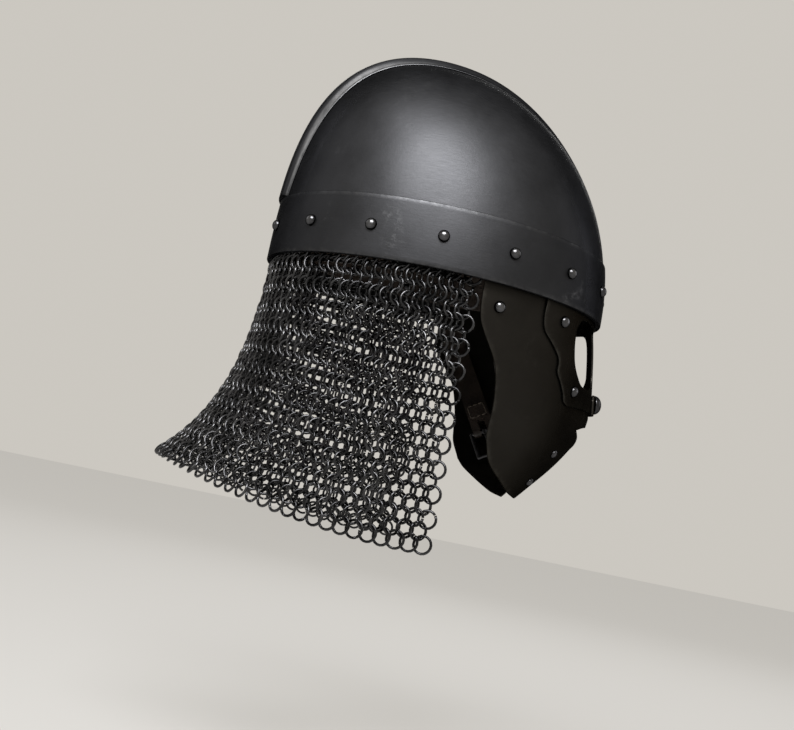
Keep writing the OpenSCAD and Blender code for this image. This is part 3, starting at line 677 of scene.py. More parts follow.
def place_copies(name, points, aims, copied, finish, vary, seed):
    """Sets copies of a small mesh on points by Geometry Nodes and returns one plain mesh."""
    obj = new_object(name, points, [])
    attribute = obj.data.attributes.new("aim", "FLOAT_VECTOR", "POINT")
    attribute.data.foreach_set("vector", np.asarray(aims, np.float32).ravel())
    modifier = obj.modifiers.new("Copies", "NODES")
    modifier.node_group = bpy.data.node_groups.get("Place copies") or placing_tree("Place copies")
    for label, value in (("Copied piece", copied), ("Size variation", vary), ("Seed", seed),
                         ("Finish", material(finish))):
        set_input(modifier, label, value)
    obj.update_tag()
    bpy.context.view_layer.update()
    apply_modifiers(obj)
    leftover = obj.data.attributes.get("aim")
    if leftover:
        obj.data.attributes.remove(leftover)
    return obj


def revolved(name, profile, turns):
    """A small closed mesh made by turning a profile of (radius, height) in mm about Z."""
    rows = profile[1:-1]
    around = math.tau * np.arange(turns) / turns
    verts = [(r * math.cos(a), r * math.sin(a), z) for r, z in rows for a in around]
    faces = grid_faces(len(rows), turns)
    for pole, row in ((profile[0], 0), (profile[-1], len(rows) - 1)):
        faces += [(row * turns + k, row * turns + (k + 1) % turns, len(verts)) for k in range(turns)]
        verts.append((0, 0, pole[1]))
    obj = closed_object(name, verts, faces)
    obj.data.shade_smooth()
    return obj


# A rivet's shank, its set head as (share of the head's radius, depth), and its dome, whose top is made
# lighter, partly as rubbed metal and partly as a painted highlight.
SHANK_RADIUS = 1.6
SET_HEAD = ((0, -1.2), (0.80, -1.2), (0.84, -0.9), (0.82, -0.35))
HEAD_SEAT = 0.02
DOME_SWELL = 0.85
DOME_POLISH_AND_SHEEN = 0.55


def rivet_mesh(name, diameter, height, grip):
    """A domed rivet: head above zero, a thin shank and a set head at the end of the grip."""
    r = diameter / 2
    profile = [(r * share, depth - grip) for share, depth in SET_HEAD]
    profile += [(SHANK_RADIUS, -grip - 0.3), (SHANK_RADIUS, HEAD_SEAT), (r * 0.97, HEAD_SEAT)]
    profile += [(r * math.cos(a), height * math.sin(a) ** DOME_SWELL)
                for a in np.linspace(0.0, math.pi / 2, 9)[:-1]]
    obj = revolved(name, profile + [(0, height)], 28)
    # The dome's top is marked lighter: partly rubbed metal, partly a painted highlight.
    across = np.array([v.co.xy.length for v in obj.data.vertices]) / (r * MM)
    raised = np.array([v.co.z for v in obj.data.vertices]) > height * MM / 4
    set_float(obj, "polish_and_sheen", DOME_POLISH_AND_SHEEN * np.clip(1.05 - across, 0, 1) * raised)
    return obj


# The settings a user would change.


class HELMET_PG_plates(bpy.types.PropertyGroup):
    """The steel plates"""

    edge_round: bpy.props.FloatProperty(
        name="Edge rounding", description="Radius of the rounded plate edges", default=0.45 * MM,
        min=0.1 * MM, max=0.7 * MM, subtype="DISTANCE", unit="LENGTH")
    crest_half: bpy.props.FloatProperty(
        name="Crest half width", description="Half width of the crest band at the crown",
        default=30 * MM, subtype="DISTANCE", unit="LENGTH")
    crest_rise: bpy.props.FloatProperty(
        name="Crest rise", description="Rise of the crest band above the skull",
        default=4.8 * MM, subtype="DISTANCE", unit="LENGTH")
    dents: bpy.props.FloatProperty(
        name="Hammer waves", description="Depth of the faint waves left by forming the sheet",
        default=0.14 * MM, subtype="DISTANCE", unit="LENGTH")


class HELMET_PG_rivets(bpy.types.PropertyGroup):
    """The rivets' heads"""

    head_diameter: bpy.props.FloatProperty(
        name="Head diameter", description="Diameter of the brow band's rivet heads",
        default=7.4 * MM, subtype="DISTANCE", unit="LENGTH")
    head_height: bpy.props.FloatProperty(
        name="Head height", description="Height of the brow band's rivet heads",
        default=3.4 * MM, subtype="DISTANCE", unit="LENGTH")
    small_diameter: bpy.props.FloatProperty(
        name="Small head diameter", description="Diameter of the small rivet heads along the cheek plates",
        default=6 * MM, subtype="DISTANCE", unit="LENGTH")
    nose_diameter: bpy.props.FloatProperty(
        name="Nose head diameter", description="Diameter of the large head at the end of the nose strip",
        default=13 * MM, subtype="DISTANCE", unit="LENGTH")
    nose_height: bpy.props.FloatProperty(
        name="Nose head height", description="Height of the large head at the end of the nose strip",
        default=5.5 * MM, subtype="DISTANCE", unit="LENGTH")


class HELMET_PG_mail(bpy.types.PropertyGroup):
    """The mail's rings and rows"""

    ring_radius: bpy.props.FloatProperty(
        name="Ring radius", description="Radius of a ring at the middle of its wire",
        default=5.25 * MM, subtype="DISTANCE", unit="LENGTH")
    wire_radius: bpy.props.FloatProperty(
        name="Wire radius", description="Radius of the rings' wire", default=0.88 * MM,
        subtype="DISTANCE", unit="LENGTH")
    rows: bpy.props.IntProperty(name="Rows", description="Rows of rings from rim to hem", default=23)
    across: bpy.props.IntProperty(name="Rings in a row", description="Rings in each even row", default=55)
    lean: bpy.props.FloatProperty(
        name="Lean", description="Lean of alternate rings out of the mail's face",
        default=math.radians(25), subtype="ANGLE")
    unevenness: bpy.props.FloatProperty(
        name="Unevenness", description="How far single rings turn from their neighbours",
        default=math.radians(3.0), subtype="ANGLE")


class HELMET_PG_stage(bpy.types.PropertyGroup):
    """The floor, the backdrop and the light"""

    floor_height: bpy.props.FloatProperty(
        name="Floor height", description="Height of the floor, measured from the rim", default=-0.33,
        subtype="DISTANCE", unit="LENGTH")
    backdrop: bpy.props.FloatVectorProperty(
        name="Backdrop", description="Colour of the floor and the backdrop", default=(0.60, 0.575, 0.53),
        subtype="COLOR", size=3)
    key_power: bpy.props.FloatProperty(
        name="Key lamp", description="Power of the key lamp", default=44.0, subtype="POWER", unit="POWER")


# The skull plates: how many rows of points lie behind the band, the angle at which the plates end
# near the crown, and half the parting between them. The waves' rate is in radians per millimetre.
HIDDEN_ROWS = 7
SKULL_TOP_ANGLE = 88.4
SKULL_PART = 0.1
WAVE_RATE = 0.075
BAND_WAVES = 0.7

# The crest's outline: it starts above the band, narrows to the brow and spreads to the back.
CREST_START = 1.8
CREST_FRONT_HALF = 12.0
CREST_BACK_HALF = 24.0
CREST_SPREAD_FROM, CREST_SPREAD_TO = 130, 167
CREST_FRONT_CURVE, CREST_BACK_CURVE = 1.3, 1.5

# The crest's section: an edge, a flank and a top, low at the brow and higher over the crown. The
# flank's steps are distances in from the edge, and the top's are shares of the rest of the width.
CREST_EDGE_LIFT = 1
CREST_LOW = 1.9
CREST_RISE_FROM, CREST_RISE_TO = 35, 80
CREST_FALL_CURVE = 0.35
FLANK_STEPS = (0.0, 0.7, 1.6, 2.5, 3.4, 4.3, 5.0, 5.6)
FLANK_FOOT, FLANK_HEAD = 0.4, 5.0
FLANK_SLOPE = 0.35
TOP_STEPS = np.linspace(0.1, 0.74, 5)


def waves(p, depth, seed):
    """Faint smooth waves over a surface, from a few fixed sines."""
    rng = np.random.default_rng(seed)
    total = np.zeros(p.shape[:-1])
    for _ in range(7):
        k = rng.normal(0, 1, 3) * WAVE_RATE
        total += np.sin(p @ k + rng.uniform(0, math.tau))
    return depth * total / 3.0


class HELMET_OT_skull(bpy.types.Operator):
    """Make the two smooth skull plates"""

    bl_idname = "helmet.skull"
    bl_label = "Skull plates"

    def execute(self, context):
        plates = context.scene.helmet_plates
        under_band = np.linspace(0, BAND_HEIGHT, HIDDEN_ROWS + 1)[:-1]
        climb = np.sin(np.linspace(sweep_angle(BAND_HEIGHT), math.radians(SKULL_TOP_ANGLE), 72))
        for side, name in ((-1, "skull_right"), (1, "skull_left")):
            angles = np.linspace(0, 180, 97) if side > 0 else np.linspace(180, 360, 97)

            def grid(off):
                z = np.concatenate([under_band, (FORM_HEIGHT + off) * climb ** (2 / FULLNESS)])
                g = skull_form(angles[None, :], z[:, None], off)
                g[..., 0] += side * SKULL_PART
                return g

            outer, inner = grid(SKULL_OUT), grid(SKULL_IN)
            push = waves(outer, plates.dents / MM, 5)[..., None] * unit(outer - outer.mean((0, 1)))
            push[:HIDDEN_ROWS + 1] = 0
            obj = shell_from_grids("plate_" + name, outer + push, inner + push, False)
            soften_edges(obj, 0.3)
            mark_wear_and_sheen(obj, [outer[:, 0], outer[:, -1]], reach=1.2)
            finish_piece(obj, "skull", [name])
        return {"FINISHED"}


class HELMET_OT_crest(bpy.types.Operator):
    """Make the raised crest band over the crown"""

    bl_idname = "helmet.crest"
    bl_label = "Crest band"

    def execute(self, context):
        plates = context.scene.helmet_plates
        half, rise = plates.crest_half / MM, plates.crest_rise / MM
        start = math.degrees(sweep_angle(BAND_HEIGHT + CREST_START))
        w = np.linspace(start, 180 - start, 181)
        to_front = (CREST_FRONT_HALF - half) * (np.maximum(0, 90 - w) / 90) ** CREST_FRONT_CURVE
        spread = np.maximum(0, w - CREST_SPREAD_FROM) / (CREST_SPREAD_TO - CREST_SPREAD_FROM)
        width = half + to_front + (CREST_BACK_HALF - half) * spread**CREST_BACK_CURVE
        to_crown = ease(part_way(w, CREST_RISE_FROM, CREST_RISE_TO))
        past_crown = np.sin(np.radians(w)) ** CREST_FALL_CURVE
        up = CREST_LOW + (rise - CREST_LOW) * np.where(w < 90, to_crown, past_crown)

        flank_end = FLANK_STEPS[-1]
        insets = [step + 0 * width for step in FLANK_STEPS]
        insets += [flank_end + (width - flank_end) * share for share in TOP_STEPS]
        across = []
        for inset in insets:
            step = part_way(inset, FLANK_FOOT, FLANK_HEAD)
            share = FLANK_SLOPE * step + (1 - FLANK_SLOPE) * ease(step)
            lift = CREST_EDGE_LIFT + (up - CREST_EDGE_LIFT) * share
            across.append((width - inset, lift))
        columns = [(-x, lift) for x, lift in across] + [(0 * width, up)] + across[::-1]
        outer = np.stack([crest_form(w, x, SKULL_OUT + lift) for x, lift in columns], 1)
        inner = np.stack([crest_form(w, x, SKULL_OUT + PLATE_GAP) for x, _ in columns], 1)
        obj = shell_from_grids("crest", outer, inner, False)
        soften_edges(obj, 0.35)

        # The edges and the flanks' feet are made lighter, mostly towards the back: partly rubbed bare metal,
        # partly a painted highlight along the crest's bevel.
        edge_wear_and_sheen = np.maximum(0.05, part_way(w, 84, 108))
        mark_wear_and_sheen(obj, [outer[:, 0], outer[:, -1]], 0.8, "edge", [edge_wear_and_sheen] * 2)
        foot = part_way(w, 86, 120) * part_way(w, 176, 156)
        crease = part_way(w, 104, 122) * part_way(w, 160, 146)
        slope = {1: foot, 2: foot, 3: crease * 0.7}
        mark_wear_and_sheen(obj, [outer[:, k] for i in slope for k in (i, -1 - i)], 0.7, "polish_and_sheen",
                  [slope[i] for i in slope for _ in range(2)])
        finish_piece(obj, "skull", ["crest_band"])
        return {"FINISHED"}


class HELMET_OT_brow_band(bpy.types.Operator):
    """Make the brow band"""

    bl_idname = "helmet.brow_band"
    bl_label = "Brow band"

    def execute(self, context):
        plates = context.scene.helmet_plates
        angles = np.arange(0, 360, 1.5)[None, :]
        z = np.linspace(0, BAND_HEIGHT, 15)[:, None]
        outer = skull_form(angles, z, 0.0)
        inner = skull_form(angles, z, -BAND_THICK)
        depth = np.minimum(0, waves(outer, BAND_WAVES * plates.dents / MM, 9))
        push = depth[..., None] * outward(skull_form, angles, z)
        obj = shell_from_grids("band", outer + push, inner + push, True)
        soften_edges(obj, plates.edge_round / MM)
        mark_wear_and_sheen(obj, [outer[0], outer[-1]], reach=0.8)
        finish_piece(obj, "band", ["brow_band"])
        return {"FINISHED"}


# The guard's outlines. The spectacle plate's half, the nose plate and the cheek plate are given as
# (angle from the face in degrees, height), and the eye hole as (distance to the side, height).
# Corners are the numbers of the points that stay sharp.
SPECTACLE_HALF = [(0, -56.8), (4.5, -56.5), (15, -56.9), (24, -57.8), (31.9, -59.0), (35.2, -57.0),
                  (36.9, -52.5), (40.2, -46.6), (43.6, -41.0), (44.0, -35.5), (45.4, -31.2),
                  (50.3, -24.6), (54.6, -19.0), (56.1, -11.0), (56.2, 0.0), (56.2, 27.0)]
EYE_OUTLINE = [(6.5, -13), (7.1, -7), (10, -3.4), (20.5, -2.2), (45, -2.2), (55, -4), (59, -9.5),
               (58.5, -17.5), (56, -25), (52, -32), (45, -37.9), (35, -42.5), (20.5, -42.5),
               (11.5, -39.5), (7.1, -33.5), (6.5, -28)]
NOSE_OUTLINE = [(-5.8, -57.4), (5.8, -57.4), (5.8, -47.5), (4.2, -43.6), (-4.2, -43.6), (-5.8, -47.5)]
CHEEK_OUTLINE = [(41, 27), (80.1, 27), (80.1, -2.7), (79.3, -20), (76.9, -29.5), (71.9, -42.6),
                 (69.4, -52.5), (67.4, -69.4), (66.5, -81.7), (65.1, -90.7), (60.8, -101.8),
                 (56.8, -107), (50.5, -112), (42.4, -117), (33.5, -121), (23.6, -123.2), (22.9, -114.7),
                 (21.3, -108), (17.5, -97), (13.1, -85), (10.2, -80), (10.6, -75.4), (14.9, -70.6),
                 (8, -67.4), (0.35, -66.2), (0.35, -48), (8, -46.6), (19, -45), (30, -42), (35.5, -37.5),
                 (39.5, -29.5), (41, -20)]
CHEEK_CORNERS = {0, 1, 10, 15, 22, 24, 25}
SPECTACLE_CORNER = 4


class HELMET_OT_guard(bpy.types.Operator):
    """Make the spectacle plate, the nose plate and the two cheek plates"""

    bl_idname = "helmet.guard"
    bl_label = "Face guard"

    def plate(self, name, loops, place, node, rounding, reach=1.3, spacing=2.4):
        """One plate of the guard, from its border and its holes."""
        obj = plate_from_outline(name, loops, place, spacing)
        soften_edges(obj, rounding)
        mark_wear_and_sheen(obj, [place(loop[:, 0], loop[:, 1], 0) for loop in loops], reach)
        finish_piece(obj, "plate", [node])

    def execute(self, context):
        rounding = context.scene.helmet_plates.edge_round / MM
        outline = [(-a, z) for a, z in SPECTACLE_HALF[:0:-1]] + SPECTACLE_HALF
        middle = len(SPECTACLE_HALF) - 1
        corners = {0, len(outline) - 1, middle - SPECTACLE_CORNER, middle + SPECTACLE_CORNER}
        loops = [smooth_outline(to_flat(outline), corners)]
        for side in (1, -1):
            eye = smooth_outline([(side * x, z) for x, z in EYE_OUTLINE], set(), 1.4)
            turn = np.arcsin(eye[:, 0] / guard_width(eye[:, 1], SPECTACLE_OUT))
            loops.append(np.stack([turn * FLAT_RADIUS, eye[:, 1]], -1))
        self.plate("spectacle", loops, guard_place(SPECTACLE_OUT, SPECTACLE_IN), "spectacle_plate", rounding)

        nose = smooth_outline(to_flat(NOSE_OUTLINE), set(range(len(NOSE_OUTLINE))), 0.8)
        self.plate("nose_cap", [nose], guard_place(NOSE_OUT, SPECTACLE_OUT + PLATE_GAP), "nose_plate",
                   0.4, 0.9, 1.2)

        cheek = smooth_outline(to_flat(CHEEK_OUTLINE), CHEEK_CORNERS)
        for side, loop in (("left", cheek), ("right", (cheek * (-1, 1))[::-1])):
            self.plate("cheek_guard_" + side, [loop], guard_place(CHEEK_OUT, CHEEK_IN),
                       "cheek_plate_" + side, rounding)
        return {"FINISHED"}


# How much further than its plates a shank reaches, and the strap with its gap behind a cheek plate.
SHORT_SPARE = 0.3
LONG_SPARE = 0.4
STRAP_GAP = 0.65
STRAP_THICK = 1.8


class HELMET_OT_rivets(bpy.types.Operator):
    """Set the rivets of the brow band and of the guard"""

    bl_idname = "helmet.rivets"
    bl_label = "Rivets"

    def place(self, name, spots, diameter, height, grip, node, vary=0.0, seed=3):
        """One set of like rivets, from its spots as (point, direction)."""
        points, aims = zip(*spots)
        head = rivet_mesh(name + "_pattern", diameter, height, grip)
        obj = place_copies(name, points, aims, head, "rivet", vary, seed)
        drop_helper(head)
        set_float(obj, "edge", np.zeros(len(obj.data.vertices)))
        finish_piece(obj, "rivet", [node])

    def execute(self, context):
        sizes = context.scene.helmet_rivets
        big, small = sizes.head_diameter / MM, sizes.small_diameter / MM
        tall = sizes.head_height / MM
        band = [(skull_form(a, RIVET_HEIGHT, 0.0), outward(skull_form, a, RIVET_HEIGHT))
                for a in rim_angles(BAND_RIVETS)]

        def on_guard(spots, off, sides=(-1, 1)):
            return [(guard_form(s * a, z, off), outward(guard_form, s * a, z))
                    for s in sides for a, z in spots]

        self.place("brow_rivets", band, big, tall, -LINER_IN + SHORT_SPARE, "band_rivets", 0.02, 4)
        self.place("plate_rivets", on_guard((SIDE_RIVET, LOWER_RIVET), SPECTACLE_OUT), big, tall * 0.9,
                   SPECTACLE_OUT - CHEEK_IN + LONG_SPARE, "guard_rivets")
        self.place("cheek_small_rivets", on_guard(CHEEK_RIVETS, CHEEK_OUT), small, small / 3,
                   GUARD_THICK + LONG_SPARE, "cheek_rivets")
        self.place("chin_strap_rivets", on_guard((STRAP_RIVET,), CHEEK_OUT), big, tall,
                   GUARD_THICK + STRAP_GAP + STRAP_THICK, "strap_rivets")
        nose = on_guard(((0, NOSE_RIVET_HEIGHT),), NOSE_OUT, (1,))
        self.place("nose_tip_rivet", nose, sizes.nose_diameter / MM, sizes.nose_height / MM,
                   NOSE_OUT - CHEEK_IN + SHORT_SPARE, "nose_rivet")
        return {"FINISHED"}


# Mail, hung from the wire inside the rim. At the sides the rows drop straight and spread a little,
# and at the back their slope, in degrees, grows from row to row.
MAIL_TOP = 1.0
MAIL_SIDE_IN = 7
MAIL_BACK_IN = 6.9
MAIL_FRONT = 11.5
DROP_SIDE = 7.4
DROP_BACK = 6.8
SPREAD_FIRST = 1.4
SPREAD_ROW = 0.45
FIRST_SLOPE = 12
FLARE_TOP = 2.0
FLARE_HEM = 48.0
FLARE_ROWS = 22
BEND = 1.8
RING_SHIFT = 0.06


def back_path(rows):
    """Height and reach of the mail at the middle of the back, row by row."""
    y, z = [HALF_LENGTH - MAIL_BACK_IN], [MAIL_TOP]
    for k in range(rows + 2):
        slope = math.radians(FIRST_SLOPE if k < 1 else FLARE_TOP + FLARE_HEM * (k / FLARE_ROWS) ** BEND)
        y.append(y[-1] + DROP_BACK * math.sin(slope))
        z.append(z[-1] - DROP_BACK * math.cos(slope))
    return np.array(y), np.array(z)


class MailForm:
    """The face that the mail hangs in."""

    def __init__(self, rows):
        self.y, self.z = back_path(rows)
        self.k = np.arange(len(self.y))

    def point(self, turn, row):
        """Point at an angle from the middle of the back, in degrees, and a row."""
        c, s = math.cos(math.radians(turn)), math.sin(math.radians(turn))
        spread = row * SPREAD_FIRST if row < 1 else SPREAD_FIRST + (row - 1) * SPREAD_ROW
        side_x = HALF_WIDTH - MAIL_SIDE_IN + spread
        side_z = MAIL_TOP - row * DROP_SIDE
        back_y, back_z = np.interp(row, self.k, self.y), np.interp(row, self.k, self.z)
        return np.array([side_x * s, back_y * c, side_z + (back_z - side_z) * max(0.0, c) ** BEND])

    def spots(self, row, across, lean):
        """Centre and axis of each ring in a row."""
        end = math.degrees(math.acos(-MAIL_FRONT / np.interp(row, self.k, self.y)))
        turns = np.linspace(0, end, 41)
        run = run_length([self.point(t, row) for t in turns])
        pitch = 2 * run[-1] / (across - 1)
        odd = row % 2
        for i in range(across - odd):
            s = (i - (across - 1 - odd) / 2) * pitch
            t = math.copysign(np.interp(abs(s), run, turns), s)
            along = unit(self.point(t + 0.5, row) - self.point(t - 0.5, row))
            down = unit(self.point(t, row + 0.5) - self.point(t, max(0, row - 0.5)))
            out = unit(np.cross(along, down))
            tilt = along * math.sin(lean) * (1 if odd == 0 else -1)
            yield self.point(t, row), unit(out * math.cos(lean) + tilt)


def ring_mesh(radius, wire, around=18, sides=6, gap=0.05):
    """One ring of bent wire whose butted ends meet with a small gap, given as an angle."""
    verts = []
    for i in range(around + 1):
        a = gap + (math.tau - 2 * gap) * i / around
        for j in range(sides):
            b = math.tau * (j + 0.5) / sides
            r = radius + wire * math.cos(b)
            verts.append((r * math.cos(a), r * math.sin(a), wire * math.sin(b)))
    ends = [tuple(start + j for j in range(sides)) for start in (0, around * sides)]
    obj = closed_object("ring_pattern", verts, grid_faces(around + 1, sides) + ends)
    obj.data.shade_smooth()
    return obj


class HELMET_OT_mail(bpy.types.Operator):
    """Hang the rows of linked rings"""

    bl_idname = "helmet.mail"
    bl_label = "Mail"

    def execute(self, context):
        mail = context.scene.helmet_mail
        form = MailForm(mail.rows)
        ring = ring_mesh(mail.ring_radius / MM, mail.wire_radius / MM)
        rng = np.random.default_rng(11)
        for first in range(0, mail.rows, 2):
            points, aims = [], []
            for row in range(first, min(first + 2, mail.rows)):
                for p, axis in form.spots(row, mail.across, mail.lean):
                    points.append(p + rng.normal(0, RING_SHIFT, 3))
                    aims.append(unit(axis + rng.normal(0, mail.unevenness, 3)))
            count = first // 2 + 1
            obj = place_copies(f"mail_rings_{count}", points, aims, ring, "ring", 0.0, first + 1)
            finish_piece(obj, "ring", [f"mail_rows_{count}"])
        drop_helper(ring)
        return {"FINISHED"}


# One stitch, as half its outline in (radius, height).
STITCH = ((0, -1.55), (0.3, -1.4), (0.44, -0.8), (0.48, 0), (0.44, 0.8), (0.3, 1.4), (0, 1.55))


def sew(name, runs, step=4.2):
    """Rows of waxed stitches along runs of points."""
    points, aims = [], []
    for run in runs:
        run = np.asarray(run)
        length = run_length(run)
        count = max(2, round(length[-1] / step))
        at = (np.arange(count) + 0.5) * length[-1] / count
        near, far = (np.stack([np.interp(at + d, length, run[:, i]) for i in range(3)], -1)
                     for d in (-0.2, 0.2))
        points.append((near + far) / 2)
        aims.append(unit(far - near))
    stitch = revolved("stitch_pattern", STITCH, 8)
    obj = place_copies(name, np.concatenate(points), np.concatenate(aims), stitch, "thread", 0.06, 3)
    drop_helper(stitch)
    finish_piece(obj, "thread", [])


# The lining: a band inside the rim, and tongues that narrow as they rise to the lace. A rim step
# is the rim's length in millimetres for one degree.
LINER_HEIGHTS = 11, 32
TONGUES = 8
TONGUE_FOOT = 25
TONGUE_HALF = 15
TONGUE_NARROWING = 10.5
TONGUE_FORM = FORM_HEIGHT - 10
LEAST_GIRTH = 0.35
RIM_STEP = 1.9
SEAM_HEIGHTS = 27.5, 30.2, 109.0
SEAM_SHARE = 0.84
STITCH_LIFT = 0.1
LACE_HEIGHT = 118.0
LACE_RADIUS = 1.1
LACE_IN = TONGUE_OUT - 1.6

# The rolled end of a tongue, as rings of (place along the lace, radius).
SLEEVE = ((-4.0, 1.6), (-4.0, 2.3), (-3.7, 2.6), (3.7, 2.6), (4.0, 2.3), (4.0, 1.6))
UP = np.array([0, 0, 1.0])


def sideways(along):
    """Level direction across another, to the outside of the lace."""
    return np.stack([along[..., 1], -along[..., 0], 0 * along[..., 0]], -1)


class HELMET_OT_lining(bpy.types.Operator):
    """Make the leather lining band, the crown tongues and their lace"""

    bl_idname = "helmet.lining"
    bl_label = "Lining"

    def execute(self, context):
        angles = np.arange(0, 360, 2.0)[None, :]
        z = np.linspace(*LINER_HEIGHTS, 9)[:, None]
        outer, inner = (skull_form(angles, z, off) for off in (LINER_OUT, LINER_IN))
        band = shell_from_grids("lining_band", outer, inner, True)
        soften_edges(band, 0.6)
        finish_piece(band, "liner", ["liner_band"])

        pieces, seams = [], []
        for n in range(TONGUES):
            angle = (n + 0.5) * 360 / TONGUES
            pieces += [self.tongue(n, angle, seams), self.sleeve(angle)]
        with context.temp_override(active_object=pieces[0], selected_editable_objects=pieces):
            bpy.ops.object.join()
        pieces[0].name = "crown_leather"
        finish_piece(pieces[0], "liner", ["crown_tongues"])
        sew("lining_stitches", seams)

        centre = skull_form(np.arange(0, 360, 3.0), LACE_HEIGHT, LACE_IN)
        out = sideways(unit(np.roll(centre, -1, axis=0) - np.roll(centre, 1, axis=0)))
        sides = np.radians(np.arange(0, 360, 36))[None, :, None]
        verts = centre[:, None, :] + LACE_RADIUS * (out[:, None, :] * np.cos(sides) + UP * np.sin(sides))
        lace = closed_object("crown_cord", verts.reshape(-1, 3), grid_faces(*verts.shape[:2], True))
        finish_piece(lace, "lace", ["crown_lace"])
        return {"FINISHED"}

    def tongue(self, number, angle, seams):
        """One tongue. The lines that its stitches follow are added to the seams."""
        rise = np.linspace(0, 1, 31)
        height = TONGUE_FOOT + (LACE_HEIGHT + 1 - TONGUE_FOOT) * np.sin(rise * math.pi / 2)
        girth = np.maximum(LEAST_GIRTH, shrink(height, TONGUE_FORM))
        spread = (TONGUE_HALF - TONGUE_NARROWING * rise) / RIM_STEP / girth
        across = np.linspace(-1, 1, 9)
        turns = angle + across[None, :] * spread[:, None]
        outer, inner = (skull_form(turns, height[:, None], off)
                        for off in (TONGUE_OUT, TONGUE_OUT - TONGUE_THICK))
        obj = shell_from_grids(f"tongue_{number}", outer, inner, False)
        soften_edges(obj, 0.5)
        for level in SEAM_HEIGHTS:
            row = np.argmin(abs(height - level))
            turn = angle + across * spread[row] * SEAM_SHARE
            seams.append(skull_form(turn, level, TONGUE_OUT - TONGUE_THICK - STITCH_LIFT))
        return obj

    def sleeve(self, angle):
        """The rolled end of a tongue that the lace runs through."""
        centre = skull_form(angle, LACE_HEIGHT, LACE_IN)
        before, after = (skull_form(angle + turn, LACE_HEIGHT, TONGUE_OUT) for turn in (-1, 1))
        along = unit(after - before)
        side = sideways(along)
        around = np.radians(np.arange(0, 360, 20))
        verts = [centre + along * d + r * (side * math.cos(a) + UP * math.sin(a))
                 for d, r in SLEEVE for a in around]
        return closed_object("sleeve", verts, grid_faces(len(SLEEVE), len(around), True))


# Chin straps: a strap hangs from its rivet, bends after its root and runs towards the chin.
STRAP_ROOT = 9.0
STRAP_LENGTH = 84.0
STRAP_AIM = (47.0, -66.0, -88.0)
STRAP_WIDTH = 16.0
FOLD_LENGTH = 22.0
SEWN_LENGTH = 12.0
LOOP_RADIUS = 1.75
SLOT_BACK = 8.0
SLOT_HALF = 2.4
SLOT_WEAR = 0.5
SLOT_REACH = 0.2
SEAM_END = 1.2
SEAM_EDGE = 2.2


def strap_point(side, along, across, up):
    """A point given in the strap's own length, width and thickness beyond its bend."""
    n = outward(guard_form, side * STRAP_RIVET[0], STRAP_RIVET[1])
    start = guard_form(side * STRAP_RIVET[0], STRAP_RIVET[1], CHEEK_OUT) - n * (GUARD_THICK + STRAP_GAP)
    way = np.array([side * STRAP_AIM[0], STRAP_AIM[1], STRAP_AIM[2]]) - start
    x = unit(way - n * (n @ way))
    bend = math.asin(-n @ unit(way - x * STRAP_ROOT))
    run = along - STRAP_ROOT
    flat = STRAP_ROOT + run * math.cos(bend) + up * math.sin(bend)
    lift = up * math.cos(bend) - run * math.sin(bend)
    return start + x * flat + np.cross(n, x) * across + n * lift


def deepen_slot(obj):
    """Moves the slot's closed end back, so that the prong, swung right over, clears the leather."""
    end = strap_point(1, STRAP_LENGTH - SLOT_BACK, 0, 0)
    along = unit(strap_point(1, STRAP_LENGTH, 0, 0) - end)
    across = unit(strap_point(1, STRAP_LENGTH - SLOT_BACK, 1, 0) - end)
    for vertex in obj.data.vertices:
        place = np.array(vertex.co) / MM - end
        if abs(place @ along) < SLOT_REACH and abs(place @ across) < SLOT_HALF + SLOT_REACH:
            vertex.co -= Vector(along * SLOT_WEAR * MM)


class HELMET_OT_straps(bpy.types.Operator):
    """Dress the chin straps, the hanging wire, the staples and the buckle"""

    bl_idname = "helmet.straps"
    bl_label = "Chin straps and fittings"

    def execute(self, context):
        for node in ("strap_left", "strap_right"):
            obj = merged_copy(node, "leather_" + node)
            if node == "strap_left":
                deepen_slot(obj)
            soften_edges(obj, 0.4)
            finish_piece(obj, "strap", [node], smooth=False)
        fold = STRAP_LENGTH - FOLD_LENGTH
        start, end = fold + SEAM_END, fold + SEWN_LENGTH - SEAM_END
        edge = STRAP_WIDTH / 2 - SEAM_EDGE
        box = [(start, -edge), (end, -edge), (end, edge), (start, edge), (start, -edge)]
        faces = STITCH_LIFT, -2 * LOOP_RADIUS - 2 * STRAP_THICK - STITCH_LIFT
        sew("strap_stitches", [[strap_point(1, *a, up), strap_point(1, *b, up)]
                               for up in faces for a, b in zip(box, box[1:])], 3.8)
        for node, finish in (("hanging_wire", "wire"), ("wire_staples", "wire"),
                             ("buckle_frame", "buckle"), ("buckle_prong", "buckle")):
            paint(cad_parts[node], finish)
        return {"FINISHED"}


# Where the photograph was taken from, as the camera's place and its right and down directions.
CAMERA_PLACE = Vector((-0.8016, 0.0865, -0.1372))
CAMERA_RIGHT = Vector((-0.1090, -0.9734, 0.2014))
CAMERA_DOWN = Vector((0.0858, -0.2110, -0.9737))
IMAGE_WIDTH = 794
FOCAL_PIXELS = 1200.0

